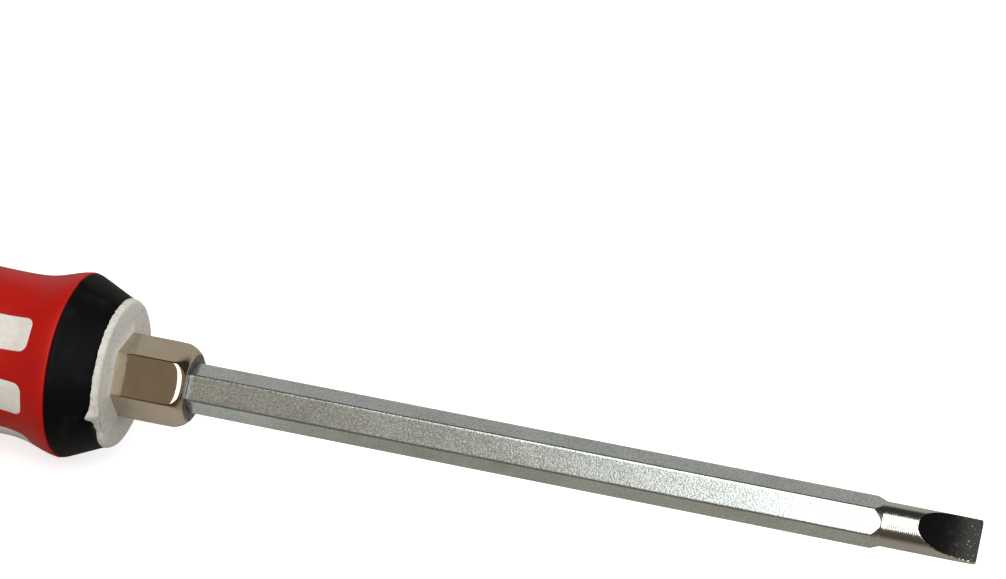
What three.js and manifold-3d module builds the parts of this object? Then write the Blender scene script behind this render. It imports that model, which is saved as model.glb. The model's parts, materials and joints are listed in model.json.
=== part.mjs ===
// A reversible screwdriver. Its hexagonal blade has a slotted point at one end and a cross point at
// the other, and is pulled out of the handle and turned end for end to change the point in use.
// Millimetres, +Z up. The tool lies on its handle with the slotted point towards +X, and the origin
// is under the middle of its length, on the surface that it lies on.

import * as THREE from "three";
import { mergeVertices } from "three/addons/utils/BufferGeometryUtils.js";
import Module from "manifold-3d";

const wasm = await Module();
wasm.setup();

// Driving dimensions, in millimetres and degrees. A station is a place along the tool's axis,
// measured from the handle's front face and positive towards the slotted point. A size that ends
// in _BACK is measured the other way, from the front face towards the butt.

// Blade
const BLADE_FLATS = 6;
const BLADE_CORNER_ROUND = 0.4;
const BLADE_LENGTH = 155;
const BLADE_REACH = 105.5; // from the bolster's mouth to the slotted point
const NECK_DIAMETER = 5.8;
const SHOULDER_LENGTH = 1.2; // cone between a hexagon corner and the turned neck

// Slotted point, hollow ground on a wheel
const SLOTTED_NECK_LENGTH = 12.3;
const SLOT_THICKNESS = 1;
const GRIND_LENGTH = 7.8;
const SLOT_TURN = 19; // from the flat that faces the front of the tool
const FACING_FLAT = 30; // angle of that flat, from level towards the top

// Cross point
const CROSS_NECK_LENGTH = 11;
const CROSS_END_DIAMETER = 1.9;
const CROSS_CONE_ANGLE = 26.5; // between the cone and the axis
const FLUTE_COUNT = 4;
const FLUTE_TURN = 45; // angle of the first flute, from level towards the top
const FLUTE_ANGLE = 92; // between a flute's two walls
const FLUTE_SLOPE = 14; // of a flute's floor to the axis
const FLUTE_FLOOR = 0.7; // from the axis to a flute's floor at the point

// Bolster, the hexagonal socket that stands out of the handle and takes a spanner
const BOLSTER_FLATS = 10;
const BOLSTER_PROUD = 9.9;
const KEY_FLATS = 9.3; // smaller hexagon sunk in the core, which takes the torque
const KEY_LENGTH = 10;
const BOLSTER_SUNK = 24;
const BOLSTER_MOUTH_DIAMETER = 9.2;
const CROWN_LENGTH = 2.4;
const TAIL_CHAMFER = 0.6;
const BORE_CLEARANCE = 0.1; // between a flat of the blade and the bore
const LEAD_IN_DIAMETER = 6.6; // countersink that breaks the edges of the bore's flats
const LEAD_IN_ANGLE = 45; // between the countersink and the axis
const ANCHOR_DIAMETER = 8.5; // groove that the core grips
const ANCHOR_BACK = 4;
const ANCHOR_WIDTH = 2;

// Ball catch that holds the blade by friction
const BALL_DIAMETER = 1.2;
const BALL_BACK = 17.6;
const BALL_CLEARANCE = 0.05;
const BALL_HOLE_CLEARANCE = 0.1;
const CLIP_THICKNESS = 0.3;
const CLIP_WIDTH = 2.8;
const CLIP_SIDE_PLAY = 0.2;
const CLIP_OPENING = 60;
const CLIP_FLEX = 0.25; // room for the clip to open as the ball is pushed out

// Thrust disc at the bottom of the blade's well
const DISC_THICKNESS = 1.5;
const DISC_CHAMFER = 0.25;
const POINT_GAP = 0.3;
const WELL_DIAMETER = 7.8;

// Outline of the handle
const FACE_DIAMETER = 20.4;
const FACE_PROUD = 0.75; // core standing out in front of the front ring
const FACE_CHAMFER = 0.35;
const FLARE_DIAMETER = 25.5;
const FLARE_BACK = 6.3;
const WAIST_DIAMETER = 22.2;
const WAIST_BACK = 15.8;
const WAIST_BIAS = 1.5; // over 1, the waist is long and the flare rises late
const PALM_DIAMETER = 27.6;
const PALM_BACK = 60;
const TAIL_DIAMETER = 25.6;
const TAIL_BACK = 92;
const HANDLE_LENGTH = 102;

// Layers of the handle
const RING_BACK = 6.5; // rear edge of the front ring, where the sleeve begins
const RING_SEAT_DIAMETER = 17.6;
const SLEEVE_WALL = 2.2;
const SLEEVE_BACK = 91; // rear edge of the sleeve, where the rear cap begins
const CAP_SEAT_DIAMETER = 18.4;
const CAP_FLOOR = 2.4; // thickness of the rear cap behind the core's shoulder
const BUTT_DIAMETER = 12.5; // end of the core that shows in the rear cap
const LAYER_GAP = 0.05;

// Windows in the sleeve, each filled flush by a pad of the core
const WINDOW_WIDTH = 4.7;
const WINDOW_FRONT_BACK = 10.1;
const WINDOW_REAR_BACK = 74;
const WINDOW_CORNER = 1.1;
const WINDOW_ANGLES = [-45, 0, 45, 135, 180, 225]; // none on the mould's parting line

// Facets
const HANDLE_SIDES = 32;
const BLADE_SIDES = 24;
const SMALL_SIDES = 16;
const WHEEL_SIDES = 80;
const CLIP_STEPS = 20;
const WINDOW_STEPS = 5;
const CORNER_STEPS = 2;
const CROWN_STEPS = 5;
const DOME_STEPS = 5;

// Overrun lets a cutting tool or a blank pass clear of the face that it cuts.
const OVERRUN = 1;

const radians = THREE.MathUtils.degToRad;

// Places worked out from the sizes
const slottedEnd = BOLSTER_PROUD + BLADE_REACH;
const crossEnd = slottedEnd - BLADE_LENGTH;
const neckRadius = NECK_DIAMETER / 2;
const bladeCornerRadius = BLADE_CORNER_ROUND + hexCorner(BLADE_FLATS / 2 - BLADE_CORNER_ROUND);
const boreFlats = BLADE_FLATS + 2 * BORE_CLEARANCE;
const ballCentre = BLADE_FLATS / 2 + BALL_CLEARANCE + BALL_DIAMETER / 2;
const clipSeat = ballCentre + BALL_DIAMETER / 2;
const clipInner = clipSeat + BALL_CLEARANCE;
const clipOuter = clipInner + CLIP_THICKNESS;
const clipGroove = CLIP_WIDTH / 2 + CLIP_SIDE_PLAY;
const discFront = crossEnd - POINT_GAP;
const discRear = discFront - DISC_THICKNESS;
const faceRadius = FACE_DIAMETER / 2;

// Radius of the corners of a hexagon with a given inner radius.
function hexCorner(inner) {
  return inner / Math.cos(radians(30));
}

// Solids

// Closed geometry as a solid that can be cut and joined.
function solid(geometry) {
  const bare = geometry.index ? geometry.toNonIndexed() : geometry.clone();
  bare.deleteAttribute("normal");
  bare.deleteAttribute("uv");
  const merged = mergeVertices(bare, 1e-4);
  const corners = merged.index.array;
  const triangles = [];
  for (let i = 0; i < corners.length; i += 3) {
    const [a, b, c] = corners.slice(i, i + 3);
    if (a !== b && b !== c && c !== a) triangles.push(a, b, c);
  }
  const mesh = new wasm.Mesh({
    numProp: 3,
    vertProperties: new Float32Array(merged.attributes.position.array),
    triVerts: new Uint32Array(triangles),
  });
  return new wasm.Manifold(mesh);
}

// A solid as geometry with flat facets.
function geometryOf(body) {
  const mesh = body.getMesh();
  const geometry = new THREE.BufferGeometry();
  geometry.setAttribute("position", new THREE.BufferAttribute(mesh.vertProperties, 3));
  geometry.setIndex(new THREE.BufferAttribute(mesh.triVerts, 1));
  const faceted = geometry.toNonIndexed();
  faceted.computeVertexNormals();
  return faceted;
}

// Body turned about the axis from [radius, station] points that run from the rear to the front.
// A facet, not an edge, faces straight down.
function turned(outline, sides) {
  const points = outline.map(([radius, station]) => new THREE.Vector2(radius, station));
  return solid(new THREE.LatheGeometry(points, sides, Math.PI / sides));
}

// Plain round body between two stations.
function rod(diameter, rear, front, sides) {
  const radius = diameter / 2;
  return turned([[0, rear], [radius, rear], [radius, front], [0, front]], sides);
}

// Ring of rectangular section between two stations.
function ring(innerDiameter, outerDiameter, rear, front, sides) {
  const inner = innerDiameter / 2;
  const outer = outerDiameter / 2;
  return turned([[inner, rear], [outer, rear], [outer, front], [inner, front], [inner, rear]], sides);
}

// Outline in the plane across the axis, drawn along the axis between two stations.
function drawn(shape, rear, front) {
  const options = { depth: front - rear, bevelEnabled: false, curveSegments: CORNER_STEPS };
  const geometry = new THREE.ExtrudeGeometry(shape, options);
  geometry.rotateX(-Math.PI / 2);
  geometry.translate(0, rear, 0);
  return solid(geometry);
}

// Hexagon with two flats level and round corners, or sharp ones where the round is 0.
function hexagon(flats, round) {
  const shape = new THREE.Shape();
  const centre = hexCorner(flats / 2 - round);
  for (let corner = 0; corner < 6; corner++) {
    const angle = radians(60 * corner);
    const x = centre * Math.cos(angle);
    const y = centre * Math.sin(angle);
    if (round > 0) shape.absarc(x, y, round, angle - radians(30), angle + radians(30));
    else if (corner === 0) shape.moveTo(x, y);
    else shape.lineTo(x, y);
  }
  shape.closePath();
  return shape;
}

// Geometry that was made standing up from the axis, turned about the axis to an angle that is
// measured from the front of the tool towards the top.
function swungTo(geometry, angle) {
  return geometry.rotateY(radians(90 - angle));
}

// Points of an arc that leaves a turned surface along the axis and falls to a smaller radius.
function crown(largeRadius, smallRadius, rear, front, steps) {
  const length = front - rear;
  const drop = largeRadius - smallRadius;
  const arcRadius = (length * length + drop * drop) / (2 * drop);
  const sweep = Math.atan2(length, arcRadius - drop);
  const points = [];
  for (let step = 0; step <= steps; step++) {
    const angle = (sweep * step) / steps;
    const fall = arcRadius * (1 - Math.cos(angle));
    points.push([largeRadius - fall, rear + arcRadius * Math.sin(angle)]);
  }
  return points;
}

// Outline of the handle

// How a span rises with the share of its length: in a straight line, or level at both ends and, at
// the waist, late.
const straight = (share) => share;
const eased = (share) => (1 - Math.cos(Math.PI * share)) / 2;
const easedLate = (share) => eased(share ** WAIST_BIAS);

// Each span joins two crests or hollows, or the face and the crest behind it.
const FACE = { back: FACE_PROUD, diameter: FACE_DIAMETER };
const FLARE = { back: FLARE_BACK, diameter: FLARE_DIAMETER };
const WAIST = { back: WAIST_BACK, diameter: WAIST_DIAMETER };
const PALM = { back: PALM_BACK, diameter: PALM_DIAMETER };
const TAIL = { back: TAIL_BACK, diameter: TAIL_DIAMETER };
const SPANS = [
  { start: FACE, end: FLARE, rise: straight, steps: 1 },
  { start: WAIST, end: FLARE, rise: easedLate, steps: 6 },
  { start: WAIST, end: PALM, rise: eased, steps: 6 },
  { start: PALM, end: TAIL, rise: eased, steps: 4 },
];

// Radius of the handle's surface at a distance behind the front face.
function outlineRadius(back) {
  const { start, end, rise } = SPANS.find((span) => {
    const ends = [span.start.back, span.end.back];
    return back >= Math.min(...ends) && back <= Math.max(...ends);
  });
  const share = (back - start.back) / (end.back - start.back);
  return (start.diameter + (end.diameter - start.diameter) * rise(share)) / 2;
}

// Distances behind the front face at which the outline has a ring of vertices.
const outlineBacks = SPANS.flatMap(({ start, end, steps }) =>
  Array.from({ length: steps + 1 }, (_, step) => start.back + ((end.back - start.back) * step) / steps),
);

// Outline set in by a depth, as [radius, station] points from the rear to the front.
function outlineBetween(rearBack, frontBack, depth) {
  const inside = outlineBacks.filter((back) => back < rearBack && back > frontBack);
  const backs = [...new Set([rearBack, ...inside, frontBack])].sort((a, b) => b - a);
  return backs.map((back) => [outlineRadius(back) - depth, -back]);
}

// Window in the sleeve, grown all round by a clearance, as a prism that stands on the axis.
function windowPrism(angle, clearance) {
  const half = WINDOW_WIDTH / 2 + clearance;
  const front = -WINDOW_FRONT_BACK + clearance;
  const rear = -WINDOW_REAR_BACK - clearance;
  const round = WINDOW_CORNER;
  const shape = new THREE.Shape();
  shape.absarc(half - round, front - round, round, 0, Math.PI / 2);
  shape.absarc(round - half, front - round, round, Math.PI / 2, Math.PI);
  shape.absarc(0, rear + half, half, Math.PI, 2 * Math.PI);
  shape.closePath();
  const options = { depth: PALM_DIAMETER, bevelEnabled: false, curveSegments: WINDOW_STEPS };
  return solid(swungTo(new THREE.ExtrudeGeometry(shape, options), angle));
}

// Pieces

function makeBlade() {
  // The lathe's large radius stays outside the corners, so the cones cut the flats in curves.
  const outside = bladeCornerRadius + BLADE_CORNER_ROUND;
  const slope = (bladeCornerRadius - neckRadius) / SHOULDER_LENGTH;
  const coneLength = (outside - neckRadius) / slope;
  const crossRadius = CROSS_END_DIAMETER / 2;
  const pointLength = (neckRadius - crossRadius) / Math.tan(radians(CROSS_CONE_ANGLE));
  const crossShoulder = crossEnd + CROSS_NECK_LENGTH;
  const slottedShoulder = slottedEnd - SLOTTED_NECK_LENGTH;
  const ends = turned(
    [
      [0, crossEnd],
      [crossRadius, crossEnd],
      [neckRadius, crossEnd + pointLength],
      [neckRadius, crossShoulder],
      [outside, crossShoulder + coneLength],
      [outside, slottedShoulder - coneLength],
      [neckRadius, slottedShoulder],
      [neckRadius, slottedEnd],
      [0, slottedEnd],
    ],
    BLADE_SIDES,
  );
  const bar = drawn(hexagon(BLADE_FLATS, BLADE_CORNER_ROUND), crossEnd - OVERRUN, slottedEnd + OVERRUN);
  let blade = bar.intersect(ends);
  for (const cutter of [...grindingWheels(), ...fluteCutters()]) blade = blade.subtract(cutter);
  return blade;
}

// The two passes of the wheel that hollow-grind the slotted point.
function grindingWheels() {
  const depth = neckRadius - SLOT_THICKNESS / 2;
  const radius = (GRIND_LENGTH ** 2 + depth ** 2) / (2 * depth);
  const width = NECK_DIAMETER + 2 * OVERRUN;
  return [0, 180].map((side) => {
    const wheel = new THREE.CylinderGeometry(radius, radius, width, WHEEL_SIDES);
    wheel.rotateZ(Math.PI / 2);
    wheel.translate(0, slottedEnd, radius + SLOT_THICKNESS / 2);
    return solid(swungTo(wheel, FACING_FLAT + SLOT_TURN + side));
  });
}

// The V-shaped cutters of the cross point's flutes.
function fluteCutters() {
  const reach = NECK_DIAMETER;
  const half = reach * Math.tan(radians(FLUTE_ANGLE / 2));
  const vee = new THREE.Shape();
  vee.moveTo(0, 0);
  vee.lineTo(half, reach);
  vee.lineTo(-half, reach);
  vee.closePath();
  const runOut = (neckRadius - FLUTE_FLOOR) / Math.sin(radians(FLUTE_SLOPE));
  return Array.from({ length: FLUTE_COUNT }, (_, flute) => {
    const options = { depth: runOut + 2 * OVERRUN, bevelEnabled: false };
    const cutter = new THREE.ExtrudeGeometry(vee, options);
    cutter.translate(0, 0, -OVERRUN);
    // The cutter is laid along the axis with its edge down, then tipped up towards its run-out.
    cutter.rotateX(-Math.PI / 2);
    cutter.rotateY(Math.PI);
    cutter.rotateX(radians(FLUTE_SLOPE));
    cutter.translate(0, crossEnd, FLUTE_FLOOR);
    return solid(swungTo(cutter, FLUTE_TURN + (360 * flute) / FLUTE_COUNT));
  });
}

function makeBolster() {
  const bore = drawn(hexagon(boreFlats, 0), -BOLSTER_SUNK - OVERRUN, BOLSTER_PROUD + OVERRUN);
  return bolsterHead().add(bolsterShank()).subtract(bore).subtract(leadIn()).subtract(ballHole());
}

// Crowned hexagon that seats on the core's face.
function bolsterHead() {
  const corner = hexCorner(BOLSTER_FLATS / 2);
  const outside = corner + OVERRUN;
  const crownRear = BOLSTER_PROUD - CROWN_LENGTH;
  const blank = turned(
    [
      [0, LAYER_GAP],
      [outside, LAYER_GAP],
      [outside, crownRear],
      ...crown(corner, BOLSTER_MOUTH_DIAMETER / 2, crownRear, BOLSTER_PROUD, CROWN_STEPS),
      [0, BOLSTER_PROUD],
    ],
    HANDLE_SIDES,
  );
  const bar = drawn(hexagon(BOLSTER_FLATS, 0), -OVERRUN, BOLSTER_PROUD + OVERRUN);
  return bar.intersect(blank);
}

// What the core holds: a hexagonal key with an anchor groove, and a round tail for the clip.
function bolsterShank() {
  const outside = hexCorner(KEY_FLATS / 2) + OVERRUN;
  const tail = clipOuter - BALL_CLEARANCE;
  const anchor = ANCHOR_DIAMETER / 2;
  const front = LAYER_GAP + OVERRUN; // let into the head
  const blank = turned(
    [
      [0, -BOLSTER_SUNK],
      [tail - TAIL_CHAMFER, -BOLSTER_SUNK],
      [tail, TAIL_CHAMFER - BOLSTER_SUNK],
      [tail, -BALL_BACK - clipGroove],
      [clipSeat, -BALL_BACK - clipGroove],
      [clipSeat, clipGroove - BALL_BACK],
      [tail, clipGroove - BALL_BACK],
      [tail, -KEY_LENGTH],
      [outside, -KEY_LENGTH],
      [outside, -ANCHOR_BACK - ANCHOR_WIDTH],
      [anchor, -ANCHOR_BACK - ANCHOR_WIDTH],
      [anchor, -ANCHOR_BACK],
      [outside, -ANCHOR_BACK],
      [outside, front],
      [0, front],
    ],
    HANDLE_SIDES,
  );
  const bar = drawn(hexagon(KEY_FLATS, 0), -BOLSTER_SUNK - OVERRUN, front + OVERRUN);
  return bar.intersect(blank);
}

// Countersink that guides the blade into the bore.
function leadIn() {
  const slope = Math.tan(radians(LEAD_IN_ANGLE));
  const mouth = LEAD_IN_DIAMETER / 2;
  const apex = BOLSTER_PROUD - mouth / slope;
  const front = BOLSTER_PROUD + OVERRUN;
  return turned([[0, apex], [mouth + OVERRUN * slope, front], [0, front]], HANDLE_SIDES);
}

// Hole for the ball through the bolster's underside, narrower at the blade.
function ballHole() {
  const wide = BALL_DIAMETER / 2 + BALL_HOLE_CLEARANCE;
  const narrow = BALL_DIAMETER / 2 - BALL_CLEARANCE;
  const bore = BLADE_FLATS / 2;
  const hole = new THREE.CylinderGeometry(wide, narrow, clipOuter - bore, SMALL_SIDES);
  hole.translate(0, (clipOuter + bore) / 2, 0);
  hole.rotateX(-Math.PI / 2);
  hole.translate(0, -BALL_BACK, 0);
  return solid(hole);
}

function makeBall() {
  const ball = new THREE.SphereGeometry(BALL_DIAMETER / 2, SMALL_SIDES, SMALL_SIDES / 2);
  ball.translate(0, -BALL_BACK, -ballCentre);
  return solid(ball);
}

// Open spring clip round the bolster's tail, closed over the ball and open at the top.
function makeClip() {
  const half = radians(CLIP_OPENING / 2);
  const start = half - Math.PI / 2;
  const end = (3 * Math.PI) / 2 - half;
  const shape = new THREE.Shape();
  shape.absarc(0, 0, clipOuter, start, end);
  shape.absarc(0, 0, clipInner, end, start, true);
  shape.closePath();
  const options = { depth: CLIP_WIDTH, bevelEnabled: false, curveSegments: CLIP_STEPS };
  const clip = new THREE.ExtrudeGeometry(shape, options);
  clip.rotateX(-Math.PI / 2);
  clip.translate(0, -BALL_BACK - CLIP_WIDTH / 2, 0);
  return solid(clip);
}

function makeDisc() {
  const radius = WELL_DIAMETER / 2 - LAYER_GAP;
  return turned(
    [
      [0, discRear],
      [radius - DISC_CHAMFER, discRear],
      [radius, discRear + DISC_CHAMFER],
      [radius, discFront - DISC_CHAMFER],
      [radius - DISC_CHAMFER, discFront],
      [0, discFront],
    ],
    SMALL_SIDES,
  );
}

function makeCore() {
  const ringSeat = RING_SEAT_DIAMETER / 2;
  const capSeat = CAP_SEAT_DIAMETER / 2;
  const butt = BUTT_DIAMETER / 2;
  const shoulder = CAP_FLOOR - HANDLE_LENGTH;
  let core = turned(
    [
      [0, -HANDLE_LENGTH],
      [butt, -HANDLE_LENGTH],
      [butt, shoulder],
      [capSeat, shoulder],
      [capSeat, -SLEEVE_BACK],
      ...outlineBetween(SLEEVE_BACK, RING_BACK, SLEEVE_WALL),
      [ringSeat, -RING_BACK],
      [ringSeat, -FACE_PROUD],
      [faceRadius, -FACE_PROUD],
      [faceRadius, -FACE_CHAMFER],
      [faceRadius - FACE_CHAMFER, 0],
      [0, 0],
    ],
    HANDLE_SIDES,
  );
  const skin = turned(
    [[0, -SLEEVE_BACK], ...outlineBetween(SLEEVE_BACK, RING_BACK, 0), [0, -RING_BACK]],
    HANDLE_SIDES,
  );
  for (const angle of WINDOW_ANGLES) core = core.add(skin.intersect(windowPrism(angle, 0)));
  return core.subtract(keyPocket()).subtract(tailPocket()).subtract(bladeWell());
}

// Hexagonal pocket for the bolster's key, with a rib left standing in the bolster's anchor groove.
function keyPocket() {
  const flats = KEY_FLATS + 2 * LAYER_GAP;
  const pocket = drawn(hexagon(flats, 0), -KEY_LENGTH - LAYER_GAP, OVERRUN);
  const rear = LAYER_GAP - ANCHOR_BACK - ANCHOR_WIDTH;
  const front = -LAYER_GAP - ANCHOR_BACK;
  const rib = ring(ANCHOR_DIAMETER + 2 * LAYER_GAP, 2 * KEY_FLATS, rear, front, HANDLE_SIDES);
  return pocket.subtract(rib);
}

// Round pocket for the bolster's tail, with room for the clip to open.
function tailPocket() {
  const diameter = 2 * (clipOuter + CLIP_FLEX);
  return rod(diameter, -BOLSTER_SUNK - LAYER_GAP, -KEY_LENGTH, HANDLE_SIDES);
}

function bladeWell() {
  return rod(WELL_DIAMETER, discRear - LAYER_GAP, -BOLSTER_SUNK, HANDLE_SIDES);
}

function makeSleeve() {
  const outer = outlineBetween(SLEEVE_BACK, RING_BACK + LAYER_GAP, 0);
  const inner = outlineBetween(SLEEVE_BACK, RING_BACK + LAYER_GAP, SLEEVE_WALL - LAYER_GAP);
  let sleeve = turned([...outer, ...inner.reverse(), outer[0]], HANDLE_SIDES);
  for (const angle of WINDOW_ANGLES) sleeve = sleeve.subtract(windowPrism(angle, LAYER_GAP));
  return sleeve;
}

function makeFrontRing() {
  const seat = RING_SEAT_DIAMETER / 2 + LAYER_GAP;
  const outer = outlineBetween(RING_BACK - LAYER_GAP, FACE_PROUD + LAYER_GAP, 0);
  const rear = outer[0][1];
  const front = outer.at(-1)[1];
  return turned([[seat, rear], ...outer, [seat, front], [seat, rear]], HANDLE_SIDES);
}

// Domed cap over the butt, with the end of the core showing in its middle.
function makeRearCap() {
  const seat = CAP_SEAT_DIAMETER / 2 + LAYER_GAP;
  const butt = BUTT_DIAMETER / 2 + LAYER_GAP;
  const shoulder = CAP_FLOOR - HANDLE_LENGTH - LAYER_GAP;
  const front = -SLEEVE_BACK - LAYER_GAP;
  const domeLength = HANDLE_LENGTH - TAIL_BACK;
  const dome = [];
  for (let step = 0; step <= DOME_STEPS; step++) {
    const angle = (Math.PI / 2) * (1 - step / DOME_STEPS);
    const radius = butt + (TAIL_DIAMETER / 2 - butt) * Math.cos(angle);
    dome.push([radius, -TAIL_BACK - domeLength * Math.sin(angle)]);
  }
  const edge = [outlineRadius(SLEEVE_BACK + LAYER_GAP), front];
  const outline = [...dome, edge, [seat, front], [seat, shoulder], [butt, shoulder], dome[0]];
  return turned(outline, HANDLE_SIDES);
}

// Materials

function material(color, roughness, metalness) {
  return new THREE.MeshStandardMaterial({ color, roughness, metalness, flatShading: true });
}

const ZINC_PLATE = material(0xa9aba6, 0.38, 1);
const NICKEL_PLATE = material(0xb0a395, 0.16, 1);
const BRIGHT_STEEL = material(0xb8b8b4, 0.3, 1);
const WHITE_PLASTIC = material(0xd6d2c9, 0.55, 0);
const RED_GRIP = material(0xa82218, 0.48, 0);
const BLACK_RUBBER = material(0x17181a, 0.6, 0);

// Assembly

// The pieces are made with the axis along Y and the top along Z, and the tool is turned so that its
// axis lies along X and the front of the tool, its X side, faces -Y.
const tool = new THREE.Group();
tool.rotation.z = -Math.PI / 2;
const lowest = (Math.max(PALM_DIAMETER, FLARE_DIAMETER) / 2) * Math.cos(Math.PI / HANDLE_SIDES);
tool.position.set((HANDLE_LENGTH - slottedEnd) / 2, 0, lowest);

function place(name, body, finish) {
  const mesh = new THREE.Mesh(geometryOf(body), finish);
  mesh.name = name;
  tool.add(mesh);
}

place("blade", makeBlade(), ZINC_PLATE);
place("hex_bolster", makeBolster(), NICKEL_PLATE);
place("detent_ball", makeBall(), BRIGHT_STEEL);
place("ball_clip", makeClip(), BRIGHT_STEEL);
place("thrust_disc", makeDisc(), BRIGHT_STEEL);
place("handle_core", makeCore(), WHITE_PLASTIC);
place("grip_sleeve", makeSleeve(), RED_GRIP);
place("front_ring", makeFrontRing(), BLACK_RUBBER);
place("rear_cap", makeRearCap(), BLACK_RUBBER);

const screwdriver = new THREE.Group();
screwdriver.name = "reversible_screwdriver";
screwdriver.add(tool);

export default screwdriver;
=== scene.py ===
"""Looks of a reversible screwdriver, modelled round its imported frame.

Sizes are in millimetres and angles in degrees. A station is a distance along the tool's axis from the
handle's front face, positive towards the slotted point, and a back is the same distance the other way.
An angle goes round the axis: 0 is the side that faces -Y, and 90 is the top.
"""

import json
import logging
import math
from abc import ABC, abstractmethod
from collections.abc import Callable, Iterable, Mapping, Sequence
from dataclasses import dataclass, field
from enum import Enum, IntEnum
from typing import Any, TypeAlias

import bmesh
import bpy
from mathutils import Matrix, Vector, geometry, noise

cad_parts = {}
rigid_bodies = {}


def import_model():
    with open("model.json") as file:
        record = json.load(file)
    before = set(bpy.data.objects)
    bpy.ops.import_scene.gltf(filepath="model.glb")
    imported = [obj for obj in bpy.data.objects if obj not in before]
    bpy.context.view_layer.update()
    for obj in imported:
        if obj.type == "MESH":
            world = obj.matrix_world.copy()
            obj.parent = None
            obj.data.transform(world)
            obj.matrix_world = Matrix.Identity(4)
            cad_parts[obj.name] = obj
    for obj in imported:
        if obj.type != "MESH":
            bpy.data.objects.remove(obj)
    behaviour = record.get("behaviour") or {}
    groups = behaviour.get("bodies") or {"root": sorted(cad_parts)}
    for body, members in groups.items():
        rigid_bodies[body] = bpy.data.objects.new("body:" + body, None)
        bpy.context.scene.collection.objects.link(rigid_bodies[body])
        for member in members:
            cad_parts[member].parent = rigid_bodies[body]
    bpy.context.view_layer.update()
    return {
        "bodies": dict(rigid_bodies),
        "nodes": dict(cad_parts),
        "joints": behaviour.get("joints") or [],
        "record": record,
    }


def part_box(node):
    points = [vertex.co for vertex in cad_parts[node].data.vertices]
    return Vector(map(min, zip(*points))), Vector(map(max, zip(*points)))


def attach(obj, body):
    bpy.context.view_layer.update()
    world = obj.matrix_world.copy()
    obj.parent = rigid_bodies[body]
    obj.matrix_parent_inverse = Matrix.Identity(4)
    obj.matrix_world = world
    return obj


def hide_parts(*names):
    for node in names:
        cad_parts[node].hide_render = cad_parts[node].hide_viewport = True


MM = 0.001
SMOOTH_LIMIT = 38.0
WELD = 0.0002
TINY = 1e-6
ROUNDING = 1e-9
FULL_TURN = 360.0
HALF_TURN = 180.0
QUARTER_TURN = 90.0
HEX_TURN = 60.0
TOP = 90.0
ROUND_TURNS = (0.0, 30.0, 60.0, 90.0)
WHITE = (1.0, 1.0, 1.0)
MIX_SHARE, MIX_FIRST, MIX_SECOND, MIX_RESULT = 0, 6, 7, 2
KEEP_INSIDE = 1

Triple: TypeAlias = tuple[float, float, float]
Colour: TypeAlias = Triple
Limits: TypeAlias = tuple[float, float]
Section: TypeAlias = Callable[[float], float]
Ring: TypeAlias = Callable[[float], tuple[float, float]]
FlatPoint: TypeAlias = tuple[float, float]

log = logging.getLogger("screwdriver")


class Body(Enum):
    """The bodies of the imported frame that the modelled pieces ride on."""

    HANDLE = "handle"
    BLADE = "blade"


class Slot(Enum):
    """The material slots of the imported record."""

    ZINC = "zinc_plate"
    NICKEL = "nickel_plate"
    STEEL = "bright_steel"
    WHITE = "white_plastic"
    RED = "red_grip"
    BLACK = "black_rubber"


class BladeFace(IntEnum):
    """How a face of the blade was made, as the index of its material."""

    PLATED = 0
    TURNED = 1
    GROUND = 2


class BolsterFace(IntEnum):
    """How a face of the bolster was finished, as the index of its material."""

    POLISHED = 0
    FACED = 1


# Outlines


def spread(start: float, stop: float, step: float) -> list[float]:
    """Even values from start to stop, both included.

    Args:
        start: First value.
        stop: Last value.
        step: Largest distance between two values.

    Returns:
        The values in order.
    """
    count = max(1, math.ceil(abs(stop - start) / step - ROUNDING))
    return [start + (stop - start) * index / count for index in range(count + 1)]


def soft_least(blend: float, limits: Iterable[float]) -> float:
    """The least of several limits, rounded off where two of them meet.

    Args:
        blend: Difference of two limits under which they are rounded into each other.
        limits: The limits.

    Returns:
        The rounded least.
    """
    least = math.inf
    for limit in limits:
        overlap = max(0.0, blend - abs(limit - least)) if math.isfinite(least) else 0.0
        least = min(limit, least) - overlap * overlap / (4 * blend)
    return least


def ease(share: float) -> float:
    """Smooth step from 0 to 1, level at both ends."""
    return (1 - math.cos(math.pi * share)) / 2


def turn_from(start: float, end: float) -> float:
    """Turn from one angle to another the short way round, from -180 to 180."""
    return (end - start + HALF_TURN) % FULL_TURN - HALF_TURN


def bell(angle: float, centre: float, width: float) -> float:
    """Bump of height 1 round the axis, centred on an angle and with a given half width."""
    return math.exp(-((turn_from(centre, angle) / width) ** 2))


def circle(radius: float) -> Section:
    """Section of a round bar."""
    return lambda angle: radius


def hexagon(flats: float, corner: float) -> Section:
    """Section of a hexagonal bar with two level flats.

    Args:
        flats: Distance across the flats.
        corner: Radius of the corners.

    Returns:
        The radius at each angle.
    """
    inner = flats / 2
    half_side = math.radians(HEX_TURN / 2)
    centre = (inner - corner) / math.cos(half_side)
    flat_end = math.atan((inner - corner) * math.tan(half_side) / inner)

    def section(angle: float) -> float:
        """Radius of the hexagon at an angle."""
        lean = abs(math.radians(angle % HEX_TURN - HEX_TURN / 2))
        if lean <= flat_end:
            return inner / math.cos(lean)
        turn = half_side - lean
        return centre * math.cos(turn) + math.sqrt(corner**2 - (centre * math.sin(turn)) ** 2)

    return section


def between(first: Section, second: Section, share: float) -> Section:
    """Section that lies a share of the way from one section to another."""
    return lambda angle: first(angle) + (second(angle) - first(angle)) * share


def at(station: float, section: Section) -> Ring:
    """Ring of a section that lies square to the axis at a station."""
    return lambda angle: (station, section(angle))


@dataclass(frozen=True)
class Rag:
    """Uneven line that closes on itself round the axis.

    Attributes:
        seed: Chooses one uneven line among many.
        waves: How quickly the line changes round the axis.
    """

    seed: float
    waves: float

    def height(self, angle: float) -> float:
        """Height of the line at an angle, from about -1 to 1."""
        turn = math.radians(angle)
        return noise.noise(Vector((self.waves * math.cos(turn), self.waves * math.sin(turn), self.seed)))


# Meshes


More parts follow.
